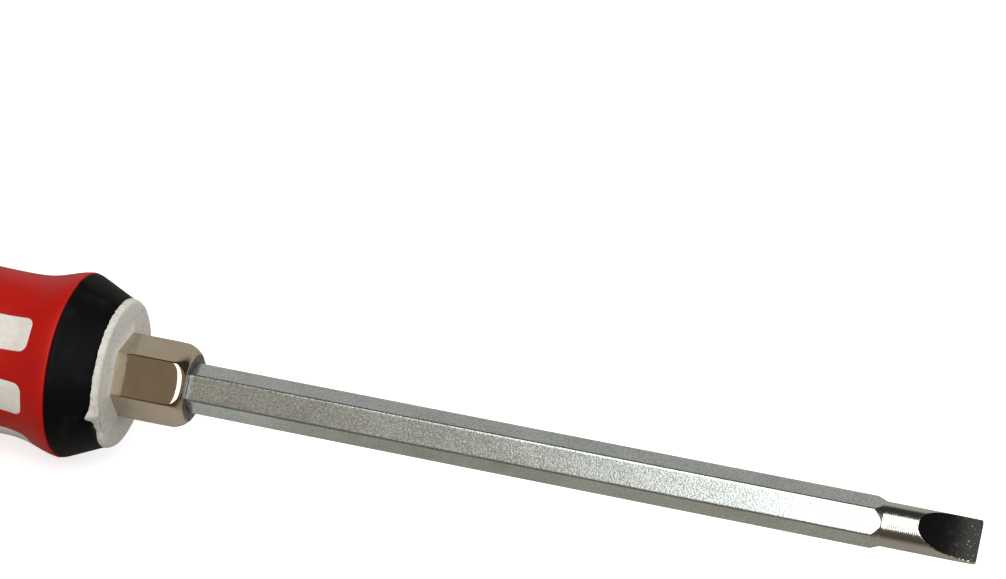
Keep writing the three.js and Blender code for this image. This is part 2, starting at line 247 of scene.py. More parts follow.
@dataclass(frozen=True)
class ToolAxis:
    """Where the tool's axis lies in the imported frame.

    Attributes:
        face_x: Place of the handle's front face along X.
        height: Height of the axis above the floor.
    """

    face_x: float
    height: float

    @classmethod
    def from_frame(cls) -> "ToolAxis":
        """Reads the axis from the boxes of the blade and the core."""
        low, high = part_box("blade")
        return cls(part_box("handle_core")[1].x / MM, (low.z + high.z) / 2 / MM)

    def ends(self, node: str) -> tuple[float, float]:
        """Stations of the rear and front ends of a CAD node."""
        low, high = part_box(node)
        return low.x / MM - self.face_x, high.x / MM - self.face_x

    def tall(self, node: str) -> float:
        """Height of a CAD node, which is its diameter or its distance across flats."""
        low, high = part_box(node)
        return (high.z - low.z) / MM

    def point(self, station: float, radius: float, angle: float) -> Vector:
        """Place in the frame, in metres, of a point given along and round the axis."""
        turn = math.radians(angle)
        across = -radius * math.cos(turn)
        return Vector((self.face_x + station, across, self.height + radius * math.sin(turn))) * MM


@dataclass
class Skin:
    """Vertices and faces of one piece while it is gathered.

    Attributes:
        axis: The tool's axis.
        angles: Angles of the vertices of each ring.
    """

    axis: ToolAxis
    angles: Sequence[float]
    points: list[Vector] = field(default_factory=list)
    faces: list[tuple[int, ...]] = field(default_factory=list)
    finishes: list[int] = field(default_factory=list)

    def point(self, station: float, radius: float, angle: float) -> int:
        """Adds a vertex and returns its number."""
        self.points.append(self.axis.point(station, radius, angle))
        return len(self.points) - 1

    def ring(self, ring: Ring) -> list[int]:
        """Adds the vertices of a ring and returns their numbers."""
        return [self.point(*ring(angle), angle) for angle in self.angles]

    def face(self, corners: Sequence[int], finish: int = 0) -> None:
        """Adds one face with a material number."""
        self.faces.append(tuple(corners))
        self.finishes.append(finish)

    def strip(self, first: Sequence[int], second: Sequence[int], finish: int = 0) -> None:
        """Joins two closed loops of as many vertices with a band of faces."""
        for index in range(len(first)):
            after = (index + 1) % len(first)
            self.face((first[index], first[after], second[after], second[index]), finish)

    def sweep(self, rings: Iterable[Ring], closed: bool = False, finish: int = 0) -> list[list[int]]:
        """Adds rings and joins each to the next.

        Args:
            rings: The rings in order along the surface.
            closed: Whether the last ring is joined to the first.
            finish: Material number of the faces.

        Returns:
            The vertex numbers of each ring.
        """
        loops = [self.ring(ring) for ring in rings]
        for first, second in zip(loops, loops[1:]):
            self.strip(first, second, finish)
        if closed:
            self.strip(loops[-1], loops[0], finish)
        return loops

    def fan(self, loop: Sequence[int], station: float) -> None:
        """Closes a loop of vertices with a fan from a point on the axis."""
        middle = self.point(station, 0.0, 0.0)
        for index in range(len(loop)):
            self.face((loop[index], loop[(index + 1) % len(loop)], middle))

    def made(self, name: str) -> bpy.types.Object:
        """Makes the Blender object, with its seams welded and its sharp edges marked.

        Args:
            name: Name of the piece.

        Returns:
            The object, linked to the scene.
        """
        mesh = bpy.data.meshes.new(name)
        mesh.from_pydata(self.points, [], self.faces)
        mesh.polygons.foreach_set("material_index", self.finishes)
        weld(mesh)
        return linked(name, mesh)


def linked(name: str, data: bpy.types.ID) -> bpy.types.Object:
    """Makes an object of a mesh, light or camera and links it to the scene."""
    made = bpy.data.objects.new(name, data)
    bpy.context.scene.collection.objects.link(made)
    return made


def weld(mesh: bpy.types.Mesh) -> None:
    """Joins vertices that coincide, turns faces outwards and marks sharp edges."""
    work = bmesh.new()
    work.from_mesh(mesh)
    bmesh.ops.remove_doubles(work, verts=work.verts, dist=WELD * MM)
    bmesh.ops.dissolve_degenerate(work, edges=work.edges, dist=WELD * MM)
    bmesh.ops.recalc_face_normals(work, faces=work.faces)
    work.to_mesh(mesh)
    work.free()
    mesh.shade_smooth()
    mesh.set_sharp_from_angle(angle=math.radians(SMOOTH_LIMIT))


def bored(piece: bpy.types.Object, cutter: bpy.types.Object) -> None:
    """Cuts one closed piece from another and removes the cutter.

    Args:
        piece: The piece that is cut.
        cutter: The piece that cuts.
    """
    cut = piece.modifiers.new("cut", "BOOLEAN")
    cut.operation = "DIFFERENCE"
    cut.object = cutter
    graph = bpy.context.evaluated_depsgraph_get()
    mesh = bpy.data.meshes.new_from_object(piece.evaluated_get(graph))
    piece.modifiers.clear()
    piece.data = mesh
    bpy.data.objects.remove(cutter)
    weld(mesh)


# Shader trees


@dataclass(frozen=True)
class Grain:
    """Cloudy noise of a finish.

    Attributes:
        size: Length of its main waves.
        detail: How many finer waves are added.
        limits: Values between which patches of it begin.
        stretch: Lengths along the axes by which places are divided first, for drawn-out grain.
    """

    size: float
    detail: float
    limits: Limits = (0.0, 1.0)
    stretch: Triple | None = None


def rgba(colour: Colour) -> tuple[float, float, float, float]:
    """Opaque colour for a socket."""
    return (*colour, 1.0)


class Plug:
    """Output of a shader node, which can be used in sums and products."""

    def __init__(self, brush: "Brush", output: bpy.types.NodeSocket) -> None:
        """Keeps the output and the tree that it belongs to."""
        self.brush = brush
        self.output = output

    def math(self, operation: str, *values: "Plug | float") -> "Plug":
        """Adds a Math node on the given values."""
        return self.brush.add("ShaderNodeMath", {"operation": operation}, dict(enumerate(values)))

    def __add__(self, other: "Plug | float") -> "Plug":
        """Sum."""
        return self.math("ADD", self, other)

    def __radd__(self, other: float) -> "Plug":
        """Sum with a number on the left."""
        return self.math("ADD", other, self)

    def __rsub__(self, other: float) -> "Plug":
        """Difference from a number."""
        return self.math("SUBTRACT", other, self)

    def __mul__(self, other: "Plug | float") -> "Plug":
        """Product."""
        return self.math("MULTIPLY", self, other)

    def __rmul__(self, other: float) -> "Plug":
        """Product with a number on the left."""
        return self.math("MULTIPLY", other, self)

    def __neg__(self) -> "Plug":
        """The value with its sign changed."""
        return self.math("MULTIPLY", self, -1.0)

    def sine(self) -> "Plug":
        """Sine of an angle in radians."""
        return self.math("SINE", self)

    def steps(self, low: float, high: float) -> "Plug":
        """Smooth step of the value, 0 below the low limit and 1 above the high one."""
        settings = {"interpolation_type": "SMOOTHSTEP"}
        return self.brush.add("ShaderNodeMapRange", settings, {0: self, 1: low, 2: high})


class Brush:
    """Adds nodes to one shader tree."""

    def __init__(self, tree: bpy.types.NodeTree) -> None:
        """Empties the tree."""
        self.tree = tree
        tree.nodes.clear()

    def node(
        self,
        kind: str,
        settings: Mapping[str, Any] | None = None,
        sockets: Mapping[str | int, Any] | None = None,
    ) -> bpy.types.Node:
        """Adds a node.

        Args:
            kind: Type of the node.
            settings: Its properties, with a ramp's colours under "stops", set before the sockets.
            sockets: Value or link of each of its inputs, by name or number.

        Returns:
            The node.
        """
        made = self.tree.nodes.new(kind)
        for name, value in (settings or {}).items():
            if name == "stops":
                self.set_stops(made.color_ramp, value)
            else:
                setattr(made, name, value)
        for name, value in (sockets or {}).items():
            if isinstance(value, Plug):
                self.tree.links.new(value.output, made.inputs[name])
            else:
                made.inputs[name].default_value = value
        return made

    @staticmethod
    def set_stops(ramp: bpy.types.ColorRamp, stops: Sequence[tuple[float, Colour]]) -> None:
        """Sets the places and colours of a ramp."""
        while len(ramp.elements) < len(stops):
            ramp.elements.new(1.0)
        for element, (place, colour) in zip(ramp.elements, stops):
            element.position = place
            element.color = rgba(colour)

    def add(
        self,
        kind: str,
        settings: Mapping[str, Any] | None = None,
        sockets: Mapping[str | int, Any] | None = None,
        output: str | int = 0,
    ) -> Plug:
        """Adds a node, as node() does, and returns one of its outputs."""
        return Plug(self, self.node(kind, settings, sockets).outputs[output])

    def place(self) -> Plug:
        """Place on the piece in millimetres, in the piece's own frame."""
        metres = self.add("ShaderNodeTexCoord", output="Object")
        return self.add("ShaderNodeVectorMath", {"operation": "SCALE"}, {0: metres, "Scale": 1 / MM})

    def part(self, place: Plug, axis: str) -> Plug:
        """One coordinate of a place."""
        return self.add("ShaderNodeSeparateXYZ", None, {0: place}, axis)

    def grain(self, place: Plug, grain: Grain) -> Plug:
        """Noise of a grain, from 0 to 1."""
        if grain.stretch:
            place = self.add("ShaderNodeVectorMath", {"operation": "DIVIDE"}, {0: place, 1: grain.stretch})
        sockets = {"Vector": place, "Scale": 1 / grain.size, "Detail": grain.detail}
        return self.add("ShaderNodeTexNoise", None, sockets)

    def patches(self, place: Plug, grain: Grain) -> Plug:
        """Patches of a grain, 1 inside and 0 outside."""
        return self.grain(place, grain).steps(*grain.limits)

    def spots(self, place: Plug, spacing: float, radius: float, core: float = 0.5) -> Plug:
        """Scattered round spots, 0 outside and 1 within a core that is a share of their radius."""
        away = self.add("ShaderNodeTexVoronoi", None, {"Vector": place, "Scale": 1 / spacing})
        return 1 - away.steps(core * radius / spacing, radius / spacing)

    def mix(self, share: Plug, first: Plug | Colour, second: Plug | Colour) -> Plug:
        """Colour that goes from the first to the second with a share."""
        ends = [end if isinstance(end, Plug) else rgba(end) for end in (first, second)]
        sockets = {MIX_SHARE: share, MIX_FIRST: ends[0], MIX_SECOND: ends[1]}
        return self.add("ShaderNodeMix", {"data_type": "RGBA"}, sockets, MIX_RESULT)

    def by_ray(self, kind: str, others: Plug, those: Plug) -> Plug:
        """Shader that differs for one kind of ray.

        Args:
            kind: Output of the Light Path node that tells that kind.
            others: Shader for all other rays.
            those: Shader for rays of that kind.

        Returns:
            The shader.
        """
        share = self.add("ShaderNodeLightPath", output=kind)
        return self.add("ShaderNodeMixShader", None, {0: share, 1: others, 2: those})

    def bump(self, height: Plug, depth: float) -> Plug:
        """Normal of a surface whose relief is a height from 0 to 1 times a depth in millimetres."""
        return self.add("ShaderNodeBump", None, {"Height": height, "Distance": depth * MM})


# Finishes


class Finish(ABC):
    """Finish of a surface, made as one material."""

    name: str

    @abstractmethod
    def sockets(self, brush: Brush) -> dict[str, Any]:
        """Values and links for the sockets of the Principled shader."""

    def material(self) -> bpy.types.Material:
        """Makes the material."""
        made = bpy.data.materials.new(self.name)
        made.use_nodes = True
        brush = Brush(made.node_tree)
        shader = brush.add("ShaderNodeBsdfPrincipled", None, self.sockets(brush))
        brush.node("ShaderNodeOutputMaterial", None, {"Surface": shader})
        return made


@dataclass(frozen=True)
class ZincPlate(Finish):
    """Zinc plating with a fine crystalline relief and a few dark specks.

    Attributes:
        crystal_share: Share of the crystals in the plating's colour. The clouds have the rest.
        bloom: Values of that mixture between which dull plating turns pale.
        relief: Depth of the crystals' relief.
        drawn_relief: Depth of the drawn bar's marks, as a share of the relief.
    """

    name: str = "zinc_plating"
    pale: Colour = (0.64, 0.7, 0.69)
    dull: Colour = (0.375, 0.412, 0.408)
    speck: Colour = (0.02, 0.02, 0.02)
    crystals: Grain = Grain(0.24, 1.0)
    clouds: Grain = Grain(7.0, 3.0)
    drawn: Grain = Grain(1.0, 3.0, stretch=(40.0, 0.5, 0.5))
    crystal_share: float = 0.7
    bloom: Limits = (0.28, 0.66)
    metal: float = 0.92
    relief: float = 0.0095
    drawn_relief: float = 0.2
    roughness: float = 0.16
    crystal_roughness: float = 0.1
    drawn_roughness: float = 0.06
    speck_spacing: float = 6.0
    speck_radius: float = 0.16

    def sockets(self, brush: Brush) -> dict[str, Any]:
        """Mottled plating over a drawn bar."""
        place = brush.place()
        crystals = brush.grain(place, self.crystals)
        clouds = brush.grain(place, self.clouds)
        drawn = brush.grain(place, self.drawn)
        bloom = (1 - self.crystal_share) * clouds + self.crystal_share * crystals
        plated = brush.mix(bloom.steps(*self.bloom), self.dull, self.pale)
        specks = brush.spots(place, self.speck_spacing, self.speck_radius)
        return {
            "Base Color": brush.mix(specks, plated, self.speck),
            "Metallic": self.metal,
            "Roughness": self.roughness + self.crystal_roughness * crystals + self.drawn_roughness * drawn,
            "Normal": brush.bump(crystals + self.drawn_relief * drawn, self.relief),
        }


@dataclass(frozen=True)
class TurnedZinc(Finish):
    """Plating over a turned neck, with fine rings left by the turning tool.

    Attributes:
        pitch: Distance between two rings.
        ring_wander: How far the rings wander, as a turn of their wave in radians.
        ring_height: Height of the rings, as a share of the relief.
        wander_height: Height of the unevenness, as a share of the relief.
    """

    name: str = "turned_zinc"
    colour: Colour = (0.60, 0.605, 0.57)
    shade: Colour = (0.528, 0.5324, 0.5016)
    wander: Grain = Grain(0.5, 2.0)
    pitch: float = 0.25
    ring_wander: float = 5.0
    ring_height: float = 0.35
    wander_height: float = 0.4
    relief: float = 0.017
    roughness: float = 0.12
    wander_roughness: float = 0.12

    def sockets(self, brush: Brush) -> dict[str, Any]:
        """Uneven rings round the axis."""
        place = brush.place()
        wander = brush.grain(place, self.wander)
        along = brush.part(place, "X") * (2 * math.pi / self.pitch)
        rings = (along + self.ring_wander * wander).sine()
        return {
            "Base Color": brush.mix(wander, self.colour, self.shade),
            "Metallic": 1.0,
            "Roughness": self.roughness + self.wander_roughness * wander,
            "Normal": brush.bump(self.ring_height * rings + self.wander_height * wander, self.relief),
        }


@dataclass(frozen=True)
class GroundPoint(Finish):
    """Hollow-ground face, dark from hardening and rubbed bright in specks towards the end.

    Attributes:
        end_x: Place of the point's end along X.
        rubbed_length: Length from the end over which wear and specks increase.
        end_wear: How much more wear there is at the end.
        end_specks: How many more specks there are at the end.
        patch_relief: Depth of the patches, as a share of the relief of the wheel's scratches.
    """

    name: str = "ground_point"
    dark: Colour = (0.013, 0.013, 0.015)
    rubbed: Colour = (0.034, 0.032, 0.025)
    bright: Colour = (0.3, 0.29, 0.25)
    patches: Grain = Grain(0.7, 4.0, (0.55, 1.1))
    scratches: Grain = Grain(1.0, 2.0, stretch=(4.0, 0.12, 0.12))
    specks: Grain = Grain(0.22, 1.0, (0.76, 0.9))
    end_x: float = 0.0
    rubbed_length: float = 6.5
    end_wear: float = 0.3
    end_specks: float = 0.1
    metal: float = 0.85
    roughness: float = 0.32
    worn_roughness: float = 0.2
    relief: float = 0.012
    patch_relief: float = 0.5

    def sockets(self, brush: Brush) -> dict[str, Any]:
        """Wheel marks along the axis, with wear that grows towards the end."""
        place = brush.place()
        away = self.end_x - brush.part(place, "X")
        worn = 1 - away.steps(0.0, self.rubbed_length)
        patches = brush.grain(place, self.patches)
        scratches = brush.grain(place, self.scratches)
        wear = (patches + self.end_wear * worn).steps(*self.patches.limits)
        specks = (brush.grain(place, self.specks) + self.end_specks * worn).steps(*self.specks.limits)
        face = brush.mix(wear, self.dark, self.rubbed)
        return {
            "Base Color": brush.mix(specks, face, self.bright),
            "Metallic": self.metal,
            "Roughness": self.roughness + self.worn_roughness * wear,
            "Normal": brush.bump(scratches + self.patch_relief * patches, self.relief),
        }


@dataclass(frozen=True)
class NickelPlate(Finish):
    """Warm polished nickel, slightly cloudy and with faint wipe marks."""

    name: str = "polished_nickel"
    warm: Colour = (0.53, 0.445, 0.34)
    pale: Colour = (0.562, 0.495, 0.395)
    clouds: Grain = Grain(2.6, 3.0, (0.35, 0.7))
    ripple: Grain = Grain(1.1, 2.0)
    wiped: Grain = Grain(1.0, 3.0, (0.45, 0.8), (3.0, 0.25, 0.25))
    roughness: float = 0.085
    wiped_roughness: float = 0.07
    relief: float = 0.004
    wiped_relief: float = 0.1

    def sockets(self, brush: Brush) -> dict[str, Any]:
        """Cloudy polish over a shallow ripple."""
        place = brush.place()
        ripple = brush.grain(place, self.ripple)
        wiped = brush.grain(place, self.wiped)
        return {
            "Base Color": brush.mix(brush.patches(place, self.clouds), self.warm, self.pale),
            "Metallic": 1.0,
            "Roughness": self.roughness + self.wiped_roughness * wiped.steps(*self.wiped.limits),
            "Normal": brush.bump(ripple + self.wiped_relief * wiped, self.relief),
        }


@dataclass(frozen=True)
class FacedNickel(Finish):
    """Thin, dull nickel over the tool marks of the bore and the faced end."""

    name: str = "faced_nickel"
    colour: Colour = (0.24, 0.25, 0.235)
    shade: Colour = (0.12, 0.115, 0.1)
    blotches: Grain = Grain(0.8, 3.0, (0.3, 0.7))
    marks: Grain = Grain(0.15, 2.0)
    roughness: float = 0.4
    marks_roughness: float = 0.15
    relief: float = 0.01

    def sockets(self, brush: Brush) -> dict[str, Any]:
        """Blotchy plating over fine tool marks."""
        place = brush.place()
        marks = brush.grain(place, self.marks)
        return {
            "Base Color": brush.mix(brush.patches(place, self.blotches), self.colour, self.shade),
            "Metallic": 1.0,
            "Roughness": self.roughness + self.marks_roughness * marks,
            "Normal": brush.bump(marks, self.relief),
        }


@dataclass(frozen=True)
class BrightSteel(Finish):
    """Bright steel of the ball, its clip and the thrust disc."""

    name: str = "bright_hard_steel"
    colour: Colour = (0.68, 0.68, 0.66)
    shade: Colour = (0.58, 0.58, 0.57)
    marks: Grain = Grain(0.3, 3.0)
    roughness: float = 0.2
    marks_roughness: float = 0.15
    relief: float = 0.003

    def sockets(self, brush: Brush) -> dict[str, Any]:
        """Fine tumbled marks."""
        marks = brush.grain(brush.place(), self.marks)
        return {
            "Base Color": brush.mix(marks, self.colour, self.shade),
            "Metallic": 1.0,
            "Roughness": self.roughness + self.marks_roughness * marks,
            "Normal": brush.bump(marks, self.relief),
        }


@dataclass(frozen=True)
class WhitePlastic(Finish):
    """Moulded white plastic, a little cloudy and grubby, greyer at its front from grime and from painted
    shade.

    Attributes:
        front_x: Where the greyer front begins, from the part's middle.
        front_blend: Length over which it begins.
        grime_and_shade_share: How grey the front is where there are no clouds.
        grime_and_shade_clouds: How much greyer the clouds make it.
        smudge_share: How strong the smudges are away from the front.
        front_smudges: How much stronger they are at the front.
    """

    name: str = "cloudy_white_plastic"
    clean: Colour = (0.83, 0.815, 0.775)
    cloudy: Colour = (0.74, 0.725, 0.675)
    dirt: Colour = (0.42, 0.40, 0.34)
    # grey of the front: grime together with painted shade
    front_grime_and_shade: Colour = (0.63, 0.63, 0.605)
    clouds: Grain = Grain(3.2, 4.0, (0.3, 0.72))
    skin: Grain = Grain(0.7, 3.0)
    smudges: Grain = Grain(0.6, 3.0, (0.45, 0.75))
    front_x: float = -12.0
    front_blend: float = 1.5
    grime_and_shade_share: float = 0.6
    grime_and_shade_clouds: float = 0.4
    smudge_share: float = 0.2
    front_smudges: float = 0.4
    roughness: float = 0.46
    skin_roughness: float = 0.12
    relief: float = 0.03
    scatter: float = 0.12
    scatter_depth: float = 0.8

    def sockets(self, brush: Brush) -> dict[str, Any]:
        """Clouds in the plastic, with rubbed-in dirt, a front greyed by grime and painted shade, and a
        slightly uneven skin.
        """
        place = brush.place()
        clouds = brush.grain(place, self.clouds)
        skin = brush.grain(place, self.skin)
        front = brush.part(place, "X").steps(self.front_x, self.front_x + self.front_blend)
        smudges = (self.smudge_share + self.front_smudges * front) * brush.patches(place, self.smudges)
        moulded = brush.mix(clouds.steps(*self.clouds.limits), self.clean, self.cloudy)
        # painted shade: the front is greyed partly for grime and partly to stand in for shade on the face
        # and rim
        grey = (self.grime_and_shade_share + self.grime_and_shade_clouds * clouds) * front
        return {
            "Base Color": brush.mix(smudges, brush.mix(grey, moulded, self.front_grime_and_shade), self.dirt),
            "Roughness": self.roughness + self.skin_roughness * skin,
            "Normal": brush.bump(skin, self.relief),
            "Subsurface Weight": self.scatter,
            "Subsurface Scale": self.scatter_depth * MM,
        }


@dataclass(frozen=True)
class RedGrip(Finish):
    """Moulded red thermoplastic with a soft sheen and a fine mould texture."""

    name: str = "moulded_red_grip"
    bright: Colour = (0.5, 0.006, 0.0025)
    deep: Colour = (0.43, 0.005, 0.0025)
    flow: Grain = Grain(1.0, 3.0, (0.3, 0.75), (14.0, 3.0, 3.0))
    texture: Grain = Grain(0.16, 2.0)
    roughness: float = 0.4
    texture_roughness: float = 0.1
    flow_roughness: float = 0.05
    relief: float = 0.006
    flow_relief: float = 2.0
    sheen: float = 0.3

    def sockets(self, brush: Brush) -> dict[str, Any]:
        """Flow marks along the grip over a fine mould texture."""
        place = brush.place()
        flow = brush.grain(place, self.flow)
        texture = brush.grain(place, self.texture)
        return {
            "Base Color": brush.mix(flow.steps(*self.flow.limits), self.bright, self.deep),
            "Roughness": self.roughness + self.texture_roughness * texture + self.flow_roughness * flow,
            "Normal": brush.bump(texture + self.flow_relief * flow, self.relief),
            "Specular IOR Level": self.sheen,
        }


@dataclass(frozen=True)
class BlackRubber(Finish):
    """Satin black thermoplastic rubber, dusty in places."""

    name: str = "satin_black_rubber"
    black: Colour = (0.0035, 0.0035, 0.004)
    dusty: Colour = (0.009, 0.009, 0.0095)
    texture: Grain = Grain(0.2, 3.0)
    dust: Grain = Grain(2.4, 4.0, (0.5, 0.8))
    roughness: float = 0.4
    dust_roughness: float = 0.14
    texture_roughness: float = 0.06
    relief: float = 0.008
    sheen: float = 0.06

    def sockets(self, brush: Brush) -> dict[str, Any]:
        """Fine mould texture with a thin bloom of dust."""
        place = brush.place()
        texture = brush.grain(place, self.texture)
        dust = brush.grain(place, self.dust)
        return {
            "Base Color": brush.mix(dust.steps(*self.dust.limits), self.black, self.dusty),
            "Roughness": self.roughness + self.dust_roughness * dust + self.texture_roughness * texture,
            "Normal": brush.bump(texture, self.relief),
            "Specular IOR Level": self.sheen,
        }


# Pieces


class Piece(ABC):
    """A piece of the screwdriver that stands for one CAD node."""

    axis: ToolAxis
    title: str
    node: str
    body: Body = Body.HANDLE
    slot: Slot
    angle_step: float

    @abstractmethod
    def build(self) -> bpy.types.Object:
        """Makes the piece's mesh as an object."""

    @abstractmethod
    def finishes(self) -> list[Finish]:
        """The finishes of the piece, in the order of its material numbers."""

    def skin(self) -> Skin:
        """Empty skin with the piece's own steps round the axis."""
        return Skin(self.axis, spread(0.0, FULL_TURN - self.angle_step, self.angle_step))

    def dress(self) -> bpy.types.Object:
        """Builds the piece, gives it its finishes and lets it ride on its body."""
        piece = self.build()
        for finish in self.finishes():
            piece.data.materials.append(finish.material())
        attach(piece, self.body.value)
        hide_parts(self.node)
        log.info("%s: %d faces on %s", self.title, len(piece.data.polygons), self.body.value)
        return piece


@dataclass
class Blade(Piece):
    """Hexagonal blade with a slotted point in front and a cross point behind.

    The surface is the least of several limits round the axis: the hexagonal bar, what the lathe leaves,
    the two hollow-ground faces and the four flutes.
    """

    axis: ToolAxis
    title: str = "plated_blade"
    node: str = "blade"
    body: Body = Body.BLADE
    slot: Slot = Slot.ZINC
    corner_round: float = 0.5
    neck_radius: float = 2.9
    shoulder_length: float = 1.2
    slotted_neck_length: float = 12.3
    slot_thickness: float = 1.0
    grind_length: float = 7.8
    slot_angle: float = 49.0
    end_round: float = 0.3
    cross_neck_length: float = 11.0
    cross_end_radius: float = 0.95
    cross_cone_angle: float = 26.5
    flute_angle: float = 92.0
    flute_slope: float = 14.0
    flute_floor: float = 0.7
    flute_turn: float = 45.0
    edge_blend: float = 0.03
    flute_run_out: float = 1.8
    shoulder_margin: float = 1.15
    flute_spacing: float = 0.1
    neck_spacing: float = 0.4
    shoulder_spacing: float = 0.06
    bar_spacing: float = 10.0
    grind_spacing: float = 0.08
    end_spacing: float = 0.06
    angle_step: float = 1.25

    def __post_init__(self) -> None:
        """Reads the bar's size and ends from the frame."""
        self.flats = self.axis.tall(self.node)
        self.cross_end, self.slotted_end = self.axis.ends(self.node)
        self.bar = hexagon(self.flats, self.corner_round)
        self.cone_slope = (self.bar(0.0) - self.neck_radius) / self.shoulder_length
        grind_depth = self.neck_radius - self.slot_thickness / 2
        self.wheel_radius = (self.grind_length**2 + grind_depth**2) / (2 * grind_depth)

    def turning(self, station: float) -> float:
        """Radius that the lathe leaves at a station."""
        from_slot = self.slotted_end - station
        from_cross = station - self.cross_end
        past_neck = min(from_slot - self.slotted_neck_length, from_cross - self.cross_neck_length)
        radius = self.neck_radius + max(0.0, past_neck) * self.cone_slope
        cone = math.tan(math.radians(self.cross_cone_angle))
        radius = min(radius, self.cross_end_radius + from_cross * cone)
        if from_slot < self.end_round:
            rest = self.end_round - from_slot
            radius -= self.end_round - math.sqrt(self.end_round**2 - rest**2)
        return radius

    def grinding(self, station: float, angle: float) -> float:
        """Radius that the wheel leaves at a station and angle."""
        away = self.slotted_end - station
        lean = abs(math.cos(math.radians(angle - self.slot_angle)))
        if away > self.grind_length or lean < TINY:
            return math.inf
        hollow = self.wheel_radius - math.sqrt(self.wheel_radius**2 - away**2)
        return (self.slot_thickness / 2 + hollow) / lean

    def fluting(self, station: float, angle: float) -> float:
        """Radius that the flute cutters leave at a station and angle."""
        away = station - self.cross_end
        floor = self.flute_floor + away * math.tan(math.radians(self.flute_slope))
        half = QUARTER_TURN / 2
        lean = math.radians((angle - self.flute_turn + half) % QUARTER_TURN - half)
        wall = 1 / math.tan(math.radians(self.flute_angle / 2))
        return floor / (math.cos(lean) - abs(math.sin(lean)) * wall)

    def limits(self, station: float, angle: float) -> list[float]:
        """Radii that each way of cutting leaves, in the order bar, lathe, wheel, flutes."""
        return [
            self.bar(angle),
            self.turning(station),
            self.grinding(station, angle),
            self.fluting(station, angle),
        ]

    def radius(self, station: float, angle: float) -> float:
        """Radius of the blade's surface."""
        return soft_least(self.edge_blend, self.limits(station, angle))

    def face_kind(self, station: float, angle: float) -> BladeFace:
        """How the surface was made at a station and angle."""
        bar, lathe, wheel, flutes = self.limits(station, angle)
        if wheel < min(bar, lathe) + self.edge_blend:
            return BladeFace.GROUND
        return BladeFace.TURNED if min(lathe, flutes) < bar else BladeFace.PLATED

    def stations(self) -> list[float]:
        """Stations of the rings, close together where the surface changes quickly."""
        cross_shoulder = self.cross_end + self.cross_neck_length
        flute_end = cross_shoulder - self.flute_run_out
        slot_shoulder = self.slotted_end - self.slotted_neck_length
        cone = self.shoulder_margin * self.shoulder_length
        grind = self.slotted_end - self.grind_length
        round_start = self.slotted_end - self.end_round
        places = [
            *spread(self.cross_end, flute_end, self.flute_spacing),
            *spread(flute_end, cross_shoulder, self.neck_spacing),
            *spread(cross_shoulder, cross_shoulder + cone, self.shoulder_spacing),
            *spread(cross_shoulder + cone, slot_shoulder - cone, self.bar_spacing),
            *spread(slot_shoulder - cone, slot_shoulder, self.shoulder_spacing),
            *spread(slot_shoulder, grind, self.neck_spacing),
            *spread(grind, round_start, self.grind_spacing),
            *spread(round_start, self.slotted_end, self.end_spacing),
        ]
        return sorted(set(places))

    def build(self) -> bpy.types.Object:
        """Sweeps the section from the cross point to the slotted point."""
        skin = self.skin()
        stations = self.stations()
        rings = [lambda angle, s=station: (s, self.radius(s, angle)) for station in stations]
        loops = skin.sweep(rings)
        middles = [(first + second) / 2 for first, second in zip(stations, stations[1:])]
        half = self.angle_step / 2
        kinds = [self.face_kind(middle, angle + half) for middle in middles for angle in skin.angles]
        skin.finishes[: len(kinds)] = kinds
        skin.fan(loops[0], stations[0])
        skin.fan(loops[-1], stations[-1])
        ends = len(skin.angles)
        skin.finishes[-2 * ends :] = [BladeFace.TURNED] * ends + [BladeFace.GROUND] * ends
        return skin.made(self.title)

    def finishes(self) -> list[Finish]:
        """Plating, turned necks and ground faces."""
        end_x = self.axis.face_x + self.slotted_end
        return [ZincPlate(), TurnedZinc(), GroundPoint(end_x=end_x)]


